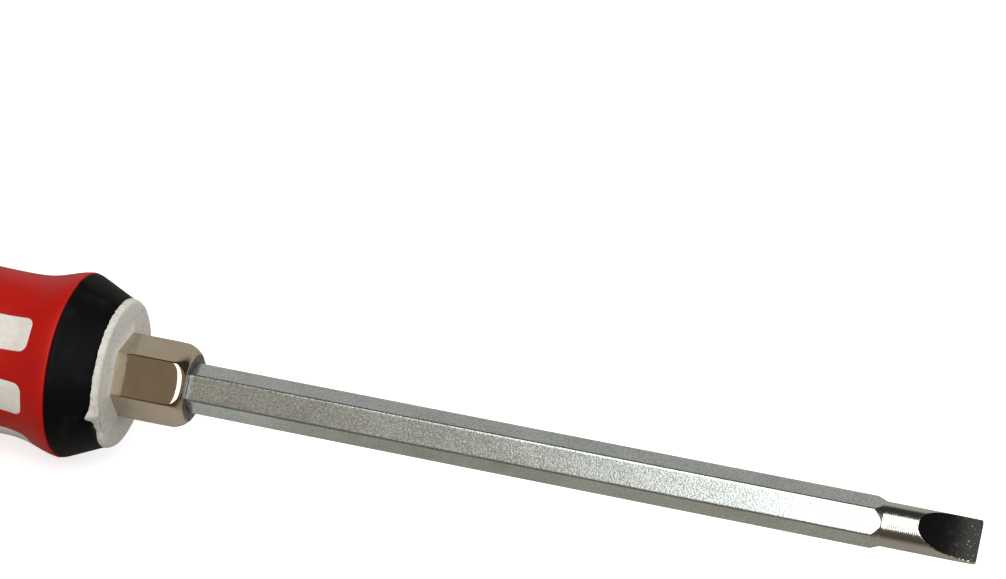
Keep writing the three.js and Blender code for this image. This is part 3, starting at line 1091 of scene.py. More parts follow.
@dataclass
class Bolster(Piece):
    """Hexagonal socket with a crowned front edge, a countersunk bore and a shank in the core.

    Attributes:
        rim_steps: Drop and inset of each ring of the mouth's rim, as shares of mouth_round.
        crown_run: Length behind the crown over which its blend into the flats dies out.
        drill_place: Place of the middle of the ball's drill, as a share of tail_radius.
    """

    axis: ToolAxis
    title: str = "nickel_bolster"
    node: str = "hex_bolster"
    slot: Slot = Slot.NICKEL
    corner_round: float = 0.3
    mouth_radius: float = 4.6
    mouth_round: float = 0.14
    rim_steps: tuple[FlatPoint, ...] = ((0.0, 1.8), (0.1, 1.1), (0.4, 0.55))
    crown_length: float = 2.4
    crown_blend: float = 0.8
    corner_blend: float = 0.12
    crown_rise: float = 0.6
    crown_run: float = 1.6
    crown_spacing: float = 0.08
    flat_spacing: float = 1.5
    bore_flats: float = 6.2
    bore_corner: float = 0.05
    lead_in_radius: float = 3.3
    base: float = 0.05
    key_flats: float = 9.3
    key_length: float = 10.0
    anchor_radius: float = 4.25
    anchor_back: float = 4.0
    anchor_width: float = 2.0
    tail_radius: float = 4.5
    tail_chamfer: float = 0.6
    clip_seat: float = 4.25
    clip_half: float = 1.6
    ball_back: float = 17.6
    ball_hole_radius: float = 0.7
    drill_place: float = 0.8
    drill_sides: int = 32
    angle_step: float = 1.5

    def __post_init__(self) -> None:
        """Reads the hexagon's size and the ends from the frame."""
        self.flats = self.axis.tall(self.node)
        self.tail_end, self.mouth = self.axis.ends(self.node)
        self.bar = hexagon(self.flats, self.corner_round)
        self.corner = self.flats / 2 / math.cos(math.radians(HEX_TURN / 2))

    def crown(self, station: float) -> float:
        """Radius of the crowned front edge at a station, which swells again farther back."""
        along = station - self.mouth + self.crown_length
        if along < 0:
            return self.corner + self.crown_rise * along**2
        drop = self.corner - self.mouth_radius
        arc = (self.crown_length**2 + drop**2) / (2 * drop)
        return self.corner - arc + math.sqrt(arc**2 - along**2)

    def head(self, station: float) -> Section:
        """Section of the hexagon at a station, polished round where its flats meet the crown."""
        crown = self.crown(station)
        spare = self.corner - self.flats / 2

        def section(angle: float) -> float:
            """Smaller of the bar and the crown, blended most in the middle of a flat."""
            flatness = (self.corner - self.bar(angle)) / spare
            blend = self.corner_blend + (self.crown_blend - self.corner_blend) * flatness
            return soft_least(blend, (self.bar(angle), crown))

        return section

    def rim(self, drop: float, inset: float) -> Ring:
        """Ring of the mouth's rounded rim, a drop behind the mouth and set in from the crown."""
        crown = self.head(self.mouth - self.mouth_round)
        step = inset * self.mouth_round
        return at(self.mouth - drop * self.mouth_round, lambda angle: crown(angle) - step)

    def outside(self) -> list[Ring]:
        """Rings of the head, from its mouth back to the core's face."""
        crown_rear = self.mouth - self.crown_length - self.crown_run
        edge = [self.rim(drop, inset) for drop, inset in self.rim_steps]
        crowned = spread(self.mouth - self.mouth_round, crown_rear, self.crown_spacing)
        plain = spread(crown_rear, self.base, self.flat_spacing)[1:]
        return [*edge, *(at(station, self.head(station)) for station in (*crowned, *plain))]

    def shank(self) -> list[Ring]:
        """Rings of the part that the core holds, from front to rear."""
        key = hexagon(self.key_flats, self.corner_round)
        tail = circle(self.tail_radius)
        anchor = circle(self.anchor_radius)
        seat = circle(self.clip_seat)
        anchor_rear = -self.anchor_back - self.anchor_width
        return [
            at(self.base, key),
            at(-self.anchor_back, key),
            at(-self.anchor_back, anchor),
            at(anchor_rear, anchor),
            at(anchor_rear, key),
            at(-self.key_length, key),
            at(-self.key_length, tail),
            at(self.clip_half - self.ball_back, tail),
            at(self.clip_half - self.ball_back, seat),
            at(-self.clip_half - self.ball_back, seat),
            at(-self.clip_half - self.ball_back, tail),
            at(self.tail_end + self.tail_chamfer, tail),
            at(self.tail_end, circle(self.tail_radius - self.tail_chamfer)),
        ]

    def bore(self) -> list[Ring]:
        """Rings of the bore, from the tail to the countersunk mouth."""
        hole = hexagon(self.bore_flats, self.bore_corner)
        depth = self.lead_in_radius - self.bore_flats / 2

        def lead_in(share: float) -> Ring:
            """Ring of the countersink, a share of the way out to the mouth."""
            reach = self.bore_flats / 2 + depth * share
            return lambda angle: (
                self.mouth - max(0.0, self.lead_in_radius - max(reach, hole(angle))),
                max(reach, hole(angle)),
            )

        inner = [at(station, hole) for station in (self.tail_end, self.mouth - 2 * depth)]
        return [*inner, *(lead_in(share) for share in (0.0, 0.5, 1.0))]

    def build(self) -> bpy.types.Object:
        """Sweeps the outside and the bore, joins them and drills the hole for the ball."""
        skin = self.skin()
        outside = skin.sweep([*self.outside(), *self.shank()])
        bore = skin.sweep(self.bore(), finish=BolsterFace.FACED)
        skin.strip(outside[-1], bore[0], BolsterFace.FACED)
        skin.strip(bore[-1], outside[0], BolsterFace.FACED)
        piece = skin.made(self.title)
        bored(piece, self.ball_drill())
        return piece

    def ball_drill(self) -> bpy.types.Object:
        """Round cutter for the ball's hole in the bolster's underside."""
        mesh = bpy.data.meshes.new("ball_drill")
        work = bmesh.new()
        radius = self.ball_hole_radius * MM
        middle = self.axis.point(-self.ball_back, self.drill_place * self.tail_radius, -TOP)
        bmesh.ops.create_cone(
            work,
            cap_ends=True,
            segments=self.drill_sides,
            radius1=radius,
            radius2=radius,
            depth=self.tail_radius * MM,
            matrix=Matrix.Translation(middle),
        )
        work.to_mesh(mesh)
        work.free()
        return linked("ball_drill", mesh)

    def finishes(self) -> list[Finish]:
        """Polish outside, and a duller skin in the bore and on the faced end."""
        return [NickelPlate(), FacedNickel()]


@dataclass
class HandleOutline:
    """Outline of the handle: a straight cone in front, then eased stretches from crest to hollow."""

    axis: ToolAxis
    face_radius: float = 10.15
    face_proud: float = 0.75
    flare_back: float = 6.3
    crest_blend: float = 0.2
    waist_radius: float = 11.05
    waist_back: float = 15.8
    waist_bias: float = 1.5
    palm_back: float = 60.0
    tail_radius: float = 12.74
    tail_back: float = 92.0
    sleeve_wall: float = 2.2

    def __post_init__(self) -> None:
        """Reads the crests and the joints between the layers from the frame."""
        self.flare_radius = self.axis.tall("front_ring") / 2
        self.palm_radius = self.axis.tall("grip_sleeve") / 2
        sleeve_rear, sleeve_front = self.axis.ends("grip_sleeve")
        self.sleeve_front = -sleeve_front
        self.sleeve_rear = -sleeve_rear
        self.butt_back = -self.axis.ends("handle_core")[0]

    def radius(self, back: float) -> float:
        """Radius of the handle's surface at a distance behind the front face."""
        if back <= self.waist_back:
            start, end, bias = self.waist, self.flare, self.waist_bias
        elif back <= self.palm_back:
            start, end, bias = self.waist, self.palm, 1.0
        else:
            start, end, bias = self.palm, (self.tail_back, self.tail_radius), 1.0
        share = min(1.0, max(0.0, (back - start[0]) / (end[0] - start[0])))
        swell = start[1] + (end[1] - start[1]) * ease(share**bias)
        return soft_least(self.crest_blend, (swell, self.cone(back)))

    def cone(self, back: float) -> float:
        """Radius of the straight cone from the front face to the flare, carried on behind it."""
        share = (back - self.face_proud) / (self.flare_back - self.face_proud)
        return self.face_radius + (self.flare_radius - self.face_radius) * share

    @property
    def flare(self) -> FlatPoint:
        """Back and radius of the crest in front."""
        return self.flare_back, self.flare_radius

    @property
    def waist(self) -> FlatPoint:
        """Back and radius of the hollow behind the flare."""
        return self.waist_back, self.waist_radius

    @property
    def palm(self) -> FlatPoint:
        """Back and radius of the crest in the palm."""
        return self.palm_back, self.palm_radius


@dataclass
class Windows:
    """The six windows in the sleeve, drawn on the grip's surface.

    Attributes:
        grid_start: Place of a row's first vertex after the seam, in steps of the grid.
        grid_shift: Shift of every second row, in steps.
        grid_end: Room that is left at the end of a row, in steps.
        edge_margin: Room that is left round a window, in steps.
        pad_room: Room that is left in front of and behind the vertices inside a pad.
        pad_rows: Places of those vertices across the pad.
    """

    outline: HandleOutline
    width: float = 4.7
    front: float = 10.1
    rear: float = 74.0
    corner: float = 1.1
    centres: tuple[float, ...] = (135.0, 180.0, 225.0, 315.0, 360.0, 405.0)
    arc_steps: int = 8
    side_steps: int = 60
    spacing: float = 1.0
    mm_per_degree: float = 0.22
    grid_start: float = 0.4
    grid_shift: float = 0.5
    grid_end: float = 0.6
    edge_margin: float = 0.5
    pad_room: Limits = (1.0, 2.0)
    pad_rows: Triple = (-1.2, 0.0, 1.2)

    def loop(self, inset: float) -> list[FlatPoint]:
        """Outline of a window, drawn in by an inset.

        Args:
            inset: Distance from the window's edge, positive into the window.

        Returns:
            Points of back and distance across from the window's middle.
        """
        half = self.width / 2 - inset
        front = self.front + inset
        rear = self.rear - inset
        corner = self.corner
        points: list[FlatPoint] = []
        arcs = (
            (front + corner, half - corner, corner, HALF_TURN, QUARTER_TURN),
            (rear - half, 0.0, half, QUARTER_TURN, 0.0),
        )
        for middle, offset, size, start, stop in arcs:
            for turn in spread(start, stop, abs(stop - start) / self.arc_steps):
                angle = math.radians(turn)
                points.append((middle + size * math.cos(angle), offset + size * math.sin(angle)))
        split = self.arc_steps + 1
        (side_start, across), side_end = points[split - 1], points[split][0]
        side = spread(side_start, side_end, abs(side_end - side_start) / self.side_steps)[1:-1]
        right = [*points[:split], *((back, across) for back in side), *points[split:]]
        left = [(back, -offset) for back, offset in reversed(right)]
        return [*right, *left[1:]]

    def angle(self, back: float, across: float, centre: float, depth: float) -> float:
        """Angle round the axis of a point in a window, at a depth below the surface."""
        return centre + math.degrees(math.asin(across / (self.outline.radius(back) - depth)))

    def flat_loop(self, centre: float, inset: float, depth: float) -> list[FlatPoint]:
        """A window's outline as points of back and angle."""
        return [(back, self.angle(back, across, centre, depth)) for back, across in self.loop(inset)]

    def walls(self, skin: Skin, steps: Sequence[tuple[float, float]]) -> None:
        """Adds the walls of all windows.

        Args:
            skin: The piece that gets the walls.
            steps: Inset and depth of each loop, from the surface down.
        """
        for centre in self.centres:
            loops = [
                [
                    skin.point(-back, self.outline.radius(back) - depth, angle)
                    for back, angle in self.flat_loop(centre, inset, depth)
                ]
                for inset, depth in steps
            ]
            for first, second in zip(loops, loops[1:]):
                skin.strip(first, second)

    def cover(self, skin: Skin, ends: tuple[float, float], inset: float, depth: float) -> None:
        """Adds the grip's surface round the windows.

        Args:
            skin: The piece that gets the surface.
            ends: Backs of its front and rear edges.
            inset: Inset of the holes that are left for the windows.
            depth: Depth below the grip's surface.
        """
        backs = spread(ends[0], ends[1], self.spacing)
        turns = [TOP + angle for angle in skin.angles] + [TOP + FULL_TURN]
        border = [(backs[0], turn) for turn in turns]
        border += [(back, turns[-1]) for back in backs[1:-1]]
        border += [(backs[-1], turn) for turn in reversed(turns)]
        border += [(back, turns[0]) for back in reversed(backs[1:-1])]
        holes = [self.flat_loop(centre, inset, depth) for centre in self.centres]
        grid = [
            (back, turn)
            for row, back in enumerate(backs[1:-1])
            for turn in self.row_turns(row, turns[0], turns[-1])
            if not self.near_window(back, turn, inset, depth)
        ]
        self.patch(skin, [border, *holes], grid, depth)

    def row_turns(self, row: int, start: float, stop: float) -> list[float]:
        """Angles of the vertices of one row of the grid, which is shifted in every second row."""
        step = self.spacing / self.mm_per_degree
        first = start + step * (self.grid_start + self.grid_shift * (row % 2))
        return spread(first, stop - self.grid_end * step, step)

    def near_window(self, back: float, turn: float, inset: float, depth: float) -> bool:
        """Whether a place lies in a window or too near to its edge for a vertex."""
        margin = self.edge_margin * self.spacing
        if not self.front + inset - margin < back < self.rear - inset + margin:
            return False
        radius = self.outline.radius(back) - depth
        half = self.width / 2 - inset + margin
        return any(
            abs(radius * math.sin(math.radians(turn - centre))) < half and abs(turn - centre) < QUARTER_TURN
            for centre in self.centres
        )

    def pads(self, skin: Skin, inset: float, depth: float) -> None:
        """Adds the faces that fill the windows, set in from their edges and at a depth."""
        for centre in self.centres:
            rim = self.flat_loop(centre, inset, depth)
            grid = [
                (back, self.angle(back, across, centre, depth))
                for back in spread(self.front + self.pad_room[0], self.rear - self.pad_room[1], self.spacing)
                for across in self.pad_rows
            ]
            self.patch(skin, [rim], grid, depth)

    def patch(self, skin: Skin, loops: list[list[FlatPoint]], grid: list[FlatPoint], depth: float) -> None:
        """Adds triangles inside the first loop and outside the others.

        Args:
            skin: The piece that gets the triangles.
            loops: Closed outlines as points of back and angle.
            grid: Further vertices.
            depth: Depth below the grip's surface.
        """
        flat = [Vector((back, turn * self.mm_per_degree)) for loop in loops for back, turn in loop]
        rims: list[list[int]] = []
        for loop in loops:
            start = sum(len(rim) for rim in rims)
            rims.append(list(reversed(range(start, start + len(loop)))))
        flat += [Vector((back, turn * self.mm_per_degree)) for back, turn in grid]
        made = geometry.delaunay_2d_cdt(flat, [], rims, KEEP_INSIDE, TINY, True)
        corners, _, triangles, _, _, owners = made
        numbers = []
        for corner in corners:
            radius = self.outline.radius(corner.x) - depth
            numbers.append(skin.point(-corner.x, radius, corner.y / self.mm_per_degree))
        for triangle, owner in zip(triangles, owners):
            if list(owner) == [0]:
                skin.face([numbers[corner] for corner in triangle])


def rounded(inset: float, depth: float, size: float, outward: bool) -> list[tuple[float, float]]:
    """Insets and depths of loops that round an edge over into a wall.

    Args:
        inset: Inset of the wall.
        depth: Depth of the surface that is rounded over.
        size: Radius of the round.
        outward: Whether the surface lies outside the wall, as a sleeve does round its window.

    Returns:
        Inset and depth of each loop, from the surface to the wall.
    """
    side = -1.0 if outward else 1.0
    turns = [math.radians(turn) for turn in ROUND_TURNS]
    return [
        (inset + side * size * (1 - math.sin(turn)), depth + size * (1 - math.cos(turn))) for turn in turns
    ]


@dataclass
class GripSleeve(Piece):
    """Red grip with six windows."""

    axis: ToolAxis
    outline: HandleOutline
    windows: Windows
    title: str = "red_grip_sleeve"
    node: str = "grip_sleeve"
    slot: Slot = Slot.RED
    edge_round: float = 0.06
    end_round: float = 0.18
    inner_gap: float = 0.03
    angle_step: float = 3.0

    def build(self) -> bpy.types.Object:
        """Lays the surface round the windows, lines it and closes its ends."""
        skin = self.skin()
        wall = self.outline.sleeve_wall - self.inner_gap
        front, rear = self.outline.sleeve_front, self.outline.sleeve_rear
        edge = rounded(0.0, 0.0, self.edge_round, True)
        self.windows.cover(skin, (front + self.end_round, rear - self.end_round), edge[0][0], 0.0)
        self.windows.cover(skin, (front, rear), 0.0, wall)
        self.windows.walls(skin, [*edge, (0.0, wall)])
        for end, side in ((front, 1.0), (rear, -1.0)):
            skin.sweep(self.end_rings(end, side, wall))
        return skin.made(self.title)

    def end_rings(self, end: float, side: float, wall: float) -> list[Ring]:
        """Rings that round the surface over into an end face and run in to the lining.

        Args:
            end: Back of the end face.
            side: 1 for the front end, and -1 for the rear end.
            wall: Thickness of the sleeve.

        Returns:
            The rings in order.
        """
        rings = []
        for inset, depth in rounded(0.0, 0.0, self.end_round, False):
            back = end + side * inset
            rings.append(at(-back, circle(self.outline.radius(back) - depth)))
        return [*rings, at(-end, circle(self.outline.radius(end) - wall))]

    def finishes(self) -> list[Finish]:
        """Red all over."""
        return [RedGrip()]


@dataclass
class HandleCore(Piece):
    """White core: the face round the bolster, the pads in the windows and the end in the rear cap.

    Attributes:
        foot: Growth of the bolster's flats and corner where the face meets the bolster.
        lip: Growth of the flats, corner and height of each ring of the lip round the bolster.
        face_rings: Share of the way from the lip to the rim, and seed, of each ring between them.
        fine_share: Height of the rim's fine unevenness, as a share of the coarse one.
        flash_start: How far into its rise the flash is where the face ends, as a share of the rim.
        spike_lean: How far the torn flake leans forward, as a share of its reach.
        dent_lean: How far the dent pushes the face back, as a share of its depth.
        tear_reach: How far the wall's torn edge wanders backwards.
        tear_spike: How far the torn flake reaches back over the front ring.
        tear_lift: How far the torn edge stands off the wall.
        spike_lift: How much farther the torn flake stands off it.
        tear_inset: How far the core steps in behind the torn edge.
        tear_wall: Least thickness of the torn edge.
        butt_edge: Distance before the butt, and inset, of each ring of the butt's rounded edge.
    """

    axis: ToolAxis
    outline: HandleOutline
    windows: Windows
    title: str = "white_handle_core"
    node: str = "handle_core"
    slot: Slot = Slot.WHITE
    pocket_flats: float = 9.4
    pocket_depth: float = 10.05
    foot: FlatPoint = (0.04, 0.15)
    lip: tuple[Triple, ...] = ((0.06, 0.18, 0.2), (0.252, 0.3, 0.2), (0.84, 0.8, 0.04))
    lip_seed: float = 1.3
    face_rings: tuple[FlatPoint, ...] = ((0.3, 2.2), (0.6, 2.6), (0.85, 3.0))
    face_height: float = -0.01
    face_rag: float = 0.05
    face_waves: float = 1.7
    rim_round: float = 0.6
    rim_step: float = 0.17
    rim_rag: float = 0.12
    coarse_rag: Rag = Rag(3.1, 9.0)
    fine_rag: Rag = Rag(8.4, 24.0)
    fine_share: float = 0.5
    flash_angle: float = -6.0
    flash_length: float = 75.0
    flash_height: float = 0.16
    flash_start: float = 0.2
    spike_width: float = 5.0
    spike_reach: float = 0.5
    spike_lean: float = 0.3
    dent_angle: float = -26.0
    dent_width: float = 14.0
    dent_depth: float = 0.9
    dent_lean: float = 0.3
    tear_rag: Rag = Rag(5.7, 14.0)
    tear_reach: float = 0.25
    tear_spike: float = 0.5
    tear_lift: float = 0.05
    spike_lift: float = 0.2
    tear_inset: float = 0.6
    tear_wall: float = 0.1
    nose_gap: float = 0.1
    ring_seat: float = 8.8
    cap_seat: float = 9.2
    cap_floor: float = 2.4
    butt_radius: float = 6.22
    butt_edge: tuple[FlatPoint, ...] = ((0.25, 0.0), (0.08, 0.08), (0.0, 0.3))
    tail_pocket_radius: float = 4.8
    tail_pocket_depth: float = 24.05
    well_radius: float = 3.9
    well_gap: float = 0.05
    pad_gap: float = 0.015
    pad_round: float = 0.06
    angle_step: float = 1.5

    def __post_init__(self) -> None:
        """Reads the bolster's size and the bottom of the blade's well from the frame."""
        self.bolster_flats = self.axis.tall("hex_bolster")
        self.well_end = self.axis.ends("thrust_disc")[0] - self.well_gap

    def uneven(self, height: float, section: Section, seed: float) -> Ring:
        """Ring on the front face, which is slightly uneven."""
        rag = Rag(seed, self.face_waves)
        return lambda angle: (height + self.face_rag * rag.height(angle), section(angle))

    def collar(self, growth: float, corner: float) -> Section:
        """Section of the bolster's hexagon, grown across its flats."""
        return hexagon(self.bolster_flats + growth, corner)

    def rim(self, share: float) -> Ring:
        """Ring of the face's rounded rim, with its torn flash and dent.

        Args:
            share: Way round the rim, 0 at the face and 1 at the wall.

        Returns:
            The ring.
        """
        turn = math.radians(QUARTER_TURN * share)

        def ring(angle: float) -> tuple[float, float]:
            """Station and radius of the rim at an angle."""
            spike = self.spike_reach * bell(angle, self.flash_angle, self.spike_width)
            flash = self.flash_height * self.flash(angle)
            dent = self.dent_depth * bell(angle, self.dent_angle, self.dent_width)
            rag = self.coarse_rag.height(angle) + self.fine_share * self.fine_rag.height(angle)
            radius = self.outline.face_radius - self.rim_round * (1 - math.sin(turn)) - dent
            station = -self.rim_round * (1 - math.cos(turn)) - self.dent_lean * dent
            station += flash * math.sin(math.pi * min(1.0, share + self.flash_start))
            station += self.spike_lean * spike * (1 - share)
            return station, radius + (self.rim_rag * rag + flash + spike) * share

        return ring

    def flash(self, angle: float) -> float:
        """Height of the flash left on the rim, from 1 at its torn end to 0 where it runs out."""
        along = turn_from(self.flash_angle, angle)
        start = min(1.0, max(0.0, 1 + along / self.spike_width))
        return start * max(0.0, 1 - max(0.0, along) / self.flash_length)

    def wall(self) -> list[Ring]:
        """Rings of the wall between the rim and the front ring, torn at its rear edge."""
        rear = self.outline.face_proud

        def torn(angle: float) -> tuple[float, float]:
            """Station and radius of the wall's torn rear edge at an angle."""
            spike = bell(angle, self.flash_angle, self.spike_width)
            station = -rear - self.tear_reach * abs(self.tear_rag.height(angle)) - self.tear_spike * spike
            return station, self.rim(1.0)(angle)[1] + self.tear_lift + self.spike_lift * spike

        def under(angle: float) -> tuple[float, float]:
            """Station and radius of the step behind the torn edge at an angle."""
            inner = self.outline.face_radius - self.tear_inset
            return -rear - self.nose_gap, min(inner, torn(angle)[1] - self.tear_wall)

        return [torn, under]

    def face(self) -> list[Ring]:
        """Rings of the front face, from the bolster's pocket out over the lip to the rim."""
        rim = circle(self.outline.face_radius - self.rim_round)
        growth, corner, _ = self.lip[-1]
        fall = self.collar(growth, corner)
        middle = [(between(fall, rim, share), seed) for share, seed in self.face_rings]
        return [
            at(0.0, hexagon(self.pocket_flats, 0.0)),
            at(0.0, self.collar(*self.foot)),
            *(self.uneven(high, self.collar(wide, turn), self.lip_seed) for wide, turn, high in self.lip),
            *(self.uneven(self.face_height, section, seed) for section, seed in middle),
            *(self.rim(share) for share in spread(0.0, 1.0, self.rim_step)),
        ]

    def inside(self) -> list[Ring]:
        """Rings of the pockets for the bolster and the blade, from front to rear."""
        pocket = hexagon(self.pocket_flats, 0.0)
        tail = circle(self.tail_pocket_radius)
        well = circle(self.well_radius)
        return [
            at(0.0, pocket),
            at(-self.pocket_depth, pocket),
            at(-self.pocket_depth, tail),
            at(-self.tail_pocket_depth, tail),
            at(-self.tail_pocket_depth, well),
            at(self.well_end, well),
        ]

    def build(self) -> bpy.types.Object:
        """Joins the face, the body with its pads, the butt and the pockets."""
        skin = self.skin()
        wall = self.outline.sleeve_wall
        front, rear = self.outline.sleeve_front, self.outline.sleeve_rear
        seat = circle(self.ring_seat)
        nose = [at(-self.outline.face_proud - self.nose_gap, seat), at(-front, seat)]
        shoulder = at(-front, circle(self.outline.radius(front) - wall))
        skin.sweep([*self.face(), *self.wall(), *nose, shoulder])
        edge = rounded(self.pad_gap, 0.0, self.pad_round, False)
        self.windows.cover(skin, (front, rear), self.pad_gap, wall)
        self.windows.pads(skin, edge[0][0], 0.0)
        self.windows.walls(skin, [*edge, (self.pad_gap, wall)])
        self.close_rear(skin, rear, wall)
        loops = skin.sweep(self.inside())
        skin.fan(loops[-1], self.well_end)
        return skin.made(self.title)

    def close_rear(self, skin: Skin, rear: float, wall: float) -> None:
        """Adds the seat of the rear cap and the butt that shows in the cap's middle.

        Args:
            skin: The core.
            rear: Back of the sleeve's rear end.
            wall: Thickness of the sleeve.
        """
        butt = self.outline.butt_back
        seat = circle(self.cap_seat)
        end = circle(self.butt_radius)
        loops = skin.sweep(
            [
                at(-rear, circle(self.outline.radius(rear) - wall)),
                at(-rear, seat),
                at(self.cap_floor - butt, seat),
                at(self.cap_floor - butt, end),
                *(at(rise - butt, circle(self.butt_radius - inset)) for rise, inset in self.butt_edge),
            ]
        )
        skin.fan(loops[-1], -butt)

    def finishes(self) -> list[Finish]:
        """White all over."""
        return [WhitePlastic()]


@dataclass
class FrontRing(Piece):
    """Black flared ring in front of the grip, with the mould's parting line on its top and underside."""

    axis: ToolAxis
    outline: HandleOutline
    title: str = "black_front_ring"
    node: str = "front_ring"
    slot: Slot = Slot.BLACK
    seat_radius: float = 8.85
    front_gap: float = 0.06
    edge_round: float = 0.16
    ridge_height: float = 0.06
    ridge_width: float = 0.9
    step_height: float = 0.07
    step_width: float = 14.0
    spacing: float = 0.25
    angle_step: float = 1.0

    def __post_init__(self) -> None:
        """Reads the ring's ends from the frame."""
        rear, front = self.axis.ends(self.node)
        self.rear_back = -rear
        self.front_back = -front

    def parting(self, angle: float) -> float:
        """Height of the parting line's ridge and step at an angle."""
        height = 0.0
        for line, side in ((TOP, 1.0), (-TOP, -1.0)):
            step = math.tanh(side * turn_from(line, angle) / self.ridge_width)
            height += self.ridge_height * bell(angle, line, self.ridge_width)
            height += self.step_height * step * bell(angle, line, self.step_width)
        return height

    def surface(self, back: float, depth: float) -> Ring:
        """Ring of the outside at a back, set in by a depth."""
        radius = self.outline.radius(back) - depth - self.step_height
        return lambda angle: (-back, radius + self.parting(angle))

    def build(self) -> bpy.types.Object:
        """Sweeps the closed profile."""
        skin = self.skin()
        front = self.front_back + self.front_gap
        rear = self.rear_back
        seat = circle(self.seat_radius)
        edge = rounded(0.0, 0.0, self.edge_round, False)
        front_edge = [self.surface(front + inset, depth) for inset, depth in reversed(edge)]
        rear_edge = [self.surface(rear - inset, depth) for inset, depth in edge]
        backs = spread(front + self.edge_round, rear - self.edge_round, self.spacing)[1:-1]
        outside = [self.surface(back, 0.0) for back in backs]
        skin.sweep([at(-front, seat), *front_edge, *outside, *rear_edge, at(-rear, seat)], closed=True)
        return skin.made(self.title)

    def finishes(self) -> list[Finish]:
        """Black all over."""
        return [BlackRubber()]


@dataclass
class RearCap(Piece):
    """Black domed cap over the butt.

    Attributes:
        cheek_backs: Backs of the rings between the front edge and the dome.
        hole_bevel: Place of the middle ring of the hole's rounded edge, as a share of hole_round.
    """

    axis: ToolAxis
    outline: HandleOutline
    title: str = "black_rear_cap"
    node: str = "rear_cap"
    slot: Slot = Slot.BLACK
    seat_radius: float = 9.25
    hole_radius: float = 6.28
    hole_round: float = 0.25
    hole_bevel: float = 0.3
    floor: float = 2.45
    cheek_backs: FlatPoint = (91.6, 91.9)
    dome_step: float = 3.0
    edge_round: float = 0.16
    angle_step: float = 2.0

    def dome(self, turn: float) -> Ring:
        """Ring of the dome, 0 degrees where it leaves the grip and 90 at the butt."""
        angle = math.radians(turn)
        rim = self.hole_radius + self.hole_round
        radius = rim + (self.outline.tail_radius - rim) * math.cos(angle)
        length = self.outline.butt_back - self.outline.tail_back
        return at(-self.outline.tail_back - length * math.sin(angle), circle(radius))

    def build(self) -> bpy.types.Object:
        """Sweeps the closed profile."""
        skin = self.skin()
        front = -self.axis.ends(self.node)[1]
        butt = self.outline.butt_back
        seat = circle(self.seat_radius)
        hole = circle(self.hole_radius)
        edge = [
            at(-front - inset, circle(self.outline.radius(front + inset) - depth))
            for inset, depth in reversed(rounded(0.0, 0.0, self.edge_round, False))
        ]
        cheek = [at(-back, circle(self.outline.radius(back))) for back in self.cheek_backs]
        bevel = self.hole_bevel * self.hole_round
        skin.sweep(
            [
                at(-front, seat),
                *edge,
                *cheek,
                *(self.dome(turn) for turn in spread(0.0, QUARTER_TURN, self.dome_step)),
                at(bevel - butt, circle(self.hole_radius + bevel)),
                at(self.hole_round - butt, hole),
                at(self.floor - butt, hole),
                at(self.floor - butt, seat),
            ],
            closed=True,
        )
        return skin.made(self.title)

    def finishes(self) -> list[Finish]:
        """Black all over."""
        return [BlackRubber(name="satin_black_cap")]


@dataclass(frozen=True)
class InnerSteel:
    """The ball, its clip and the thrust disc, which keep their CAD shapes."""

    nodes: tuple[str, ...] = ("detent_ball", "ball_clip", "thrust_disc")

    def dress(self, frame: Mapping[str, Any]) -> None:
        """Gives the CAD nodes their finish."""
        steel = BrightSteel().material()
        for name in self.nodes:
            frame["nodes"][name].material_slots[0].material = steel
            log.info("%s: CAD shape in bright steel", name)


# Studio


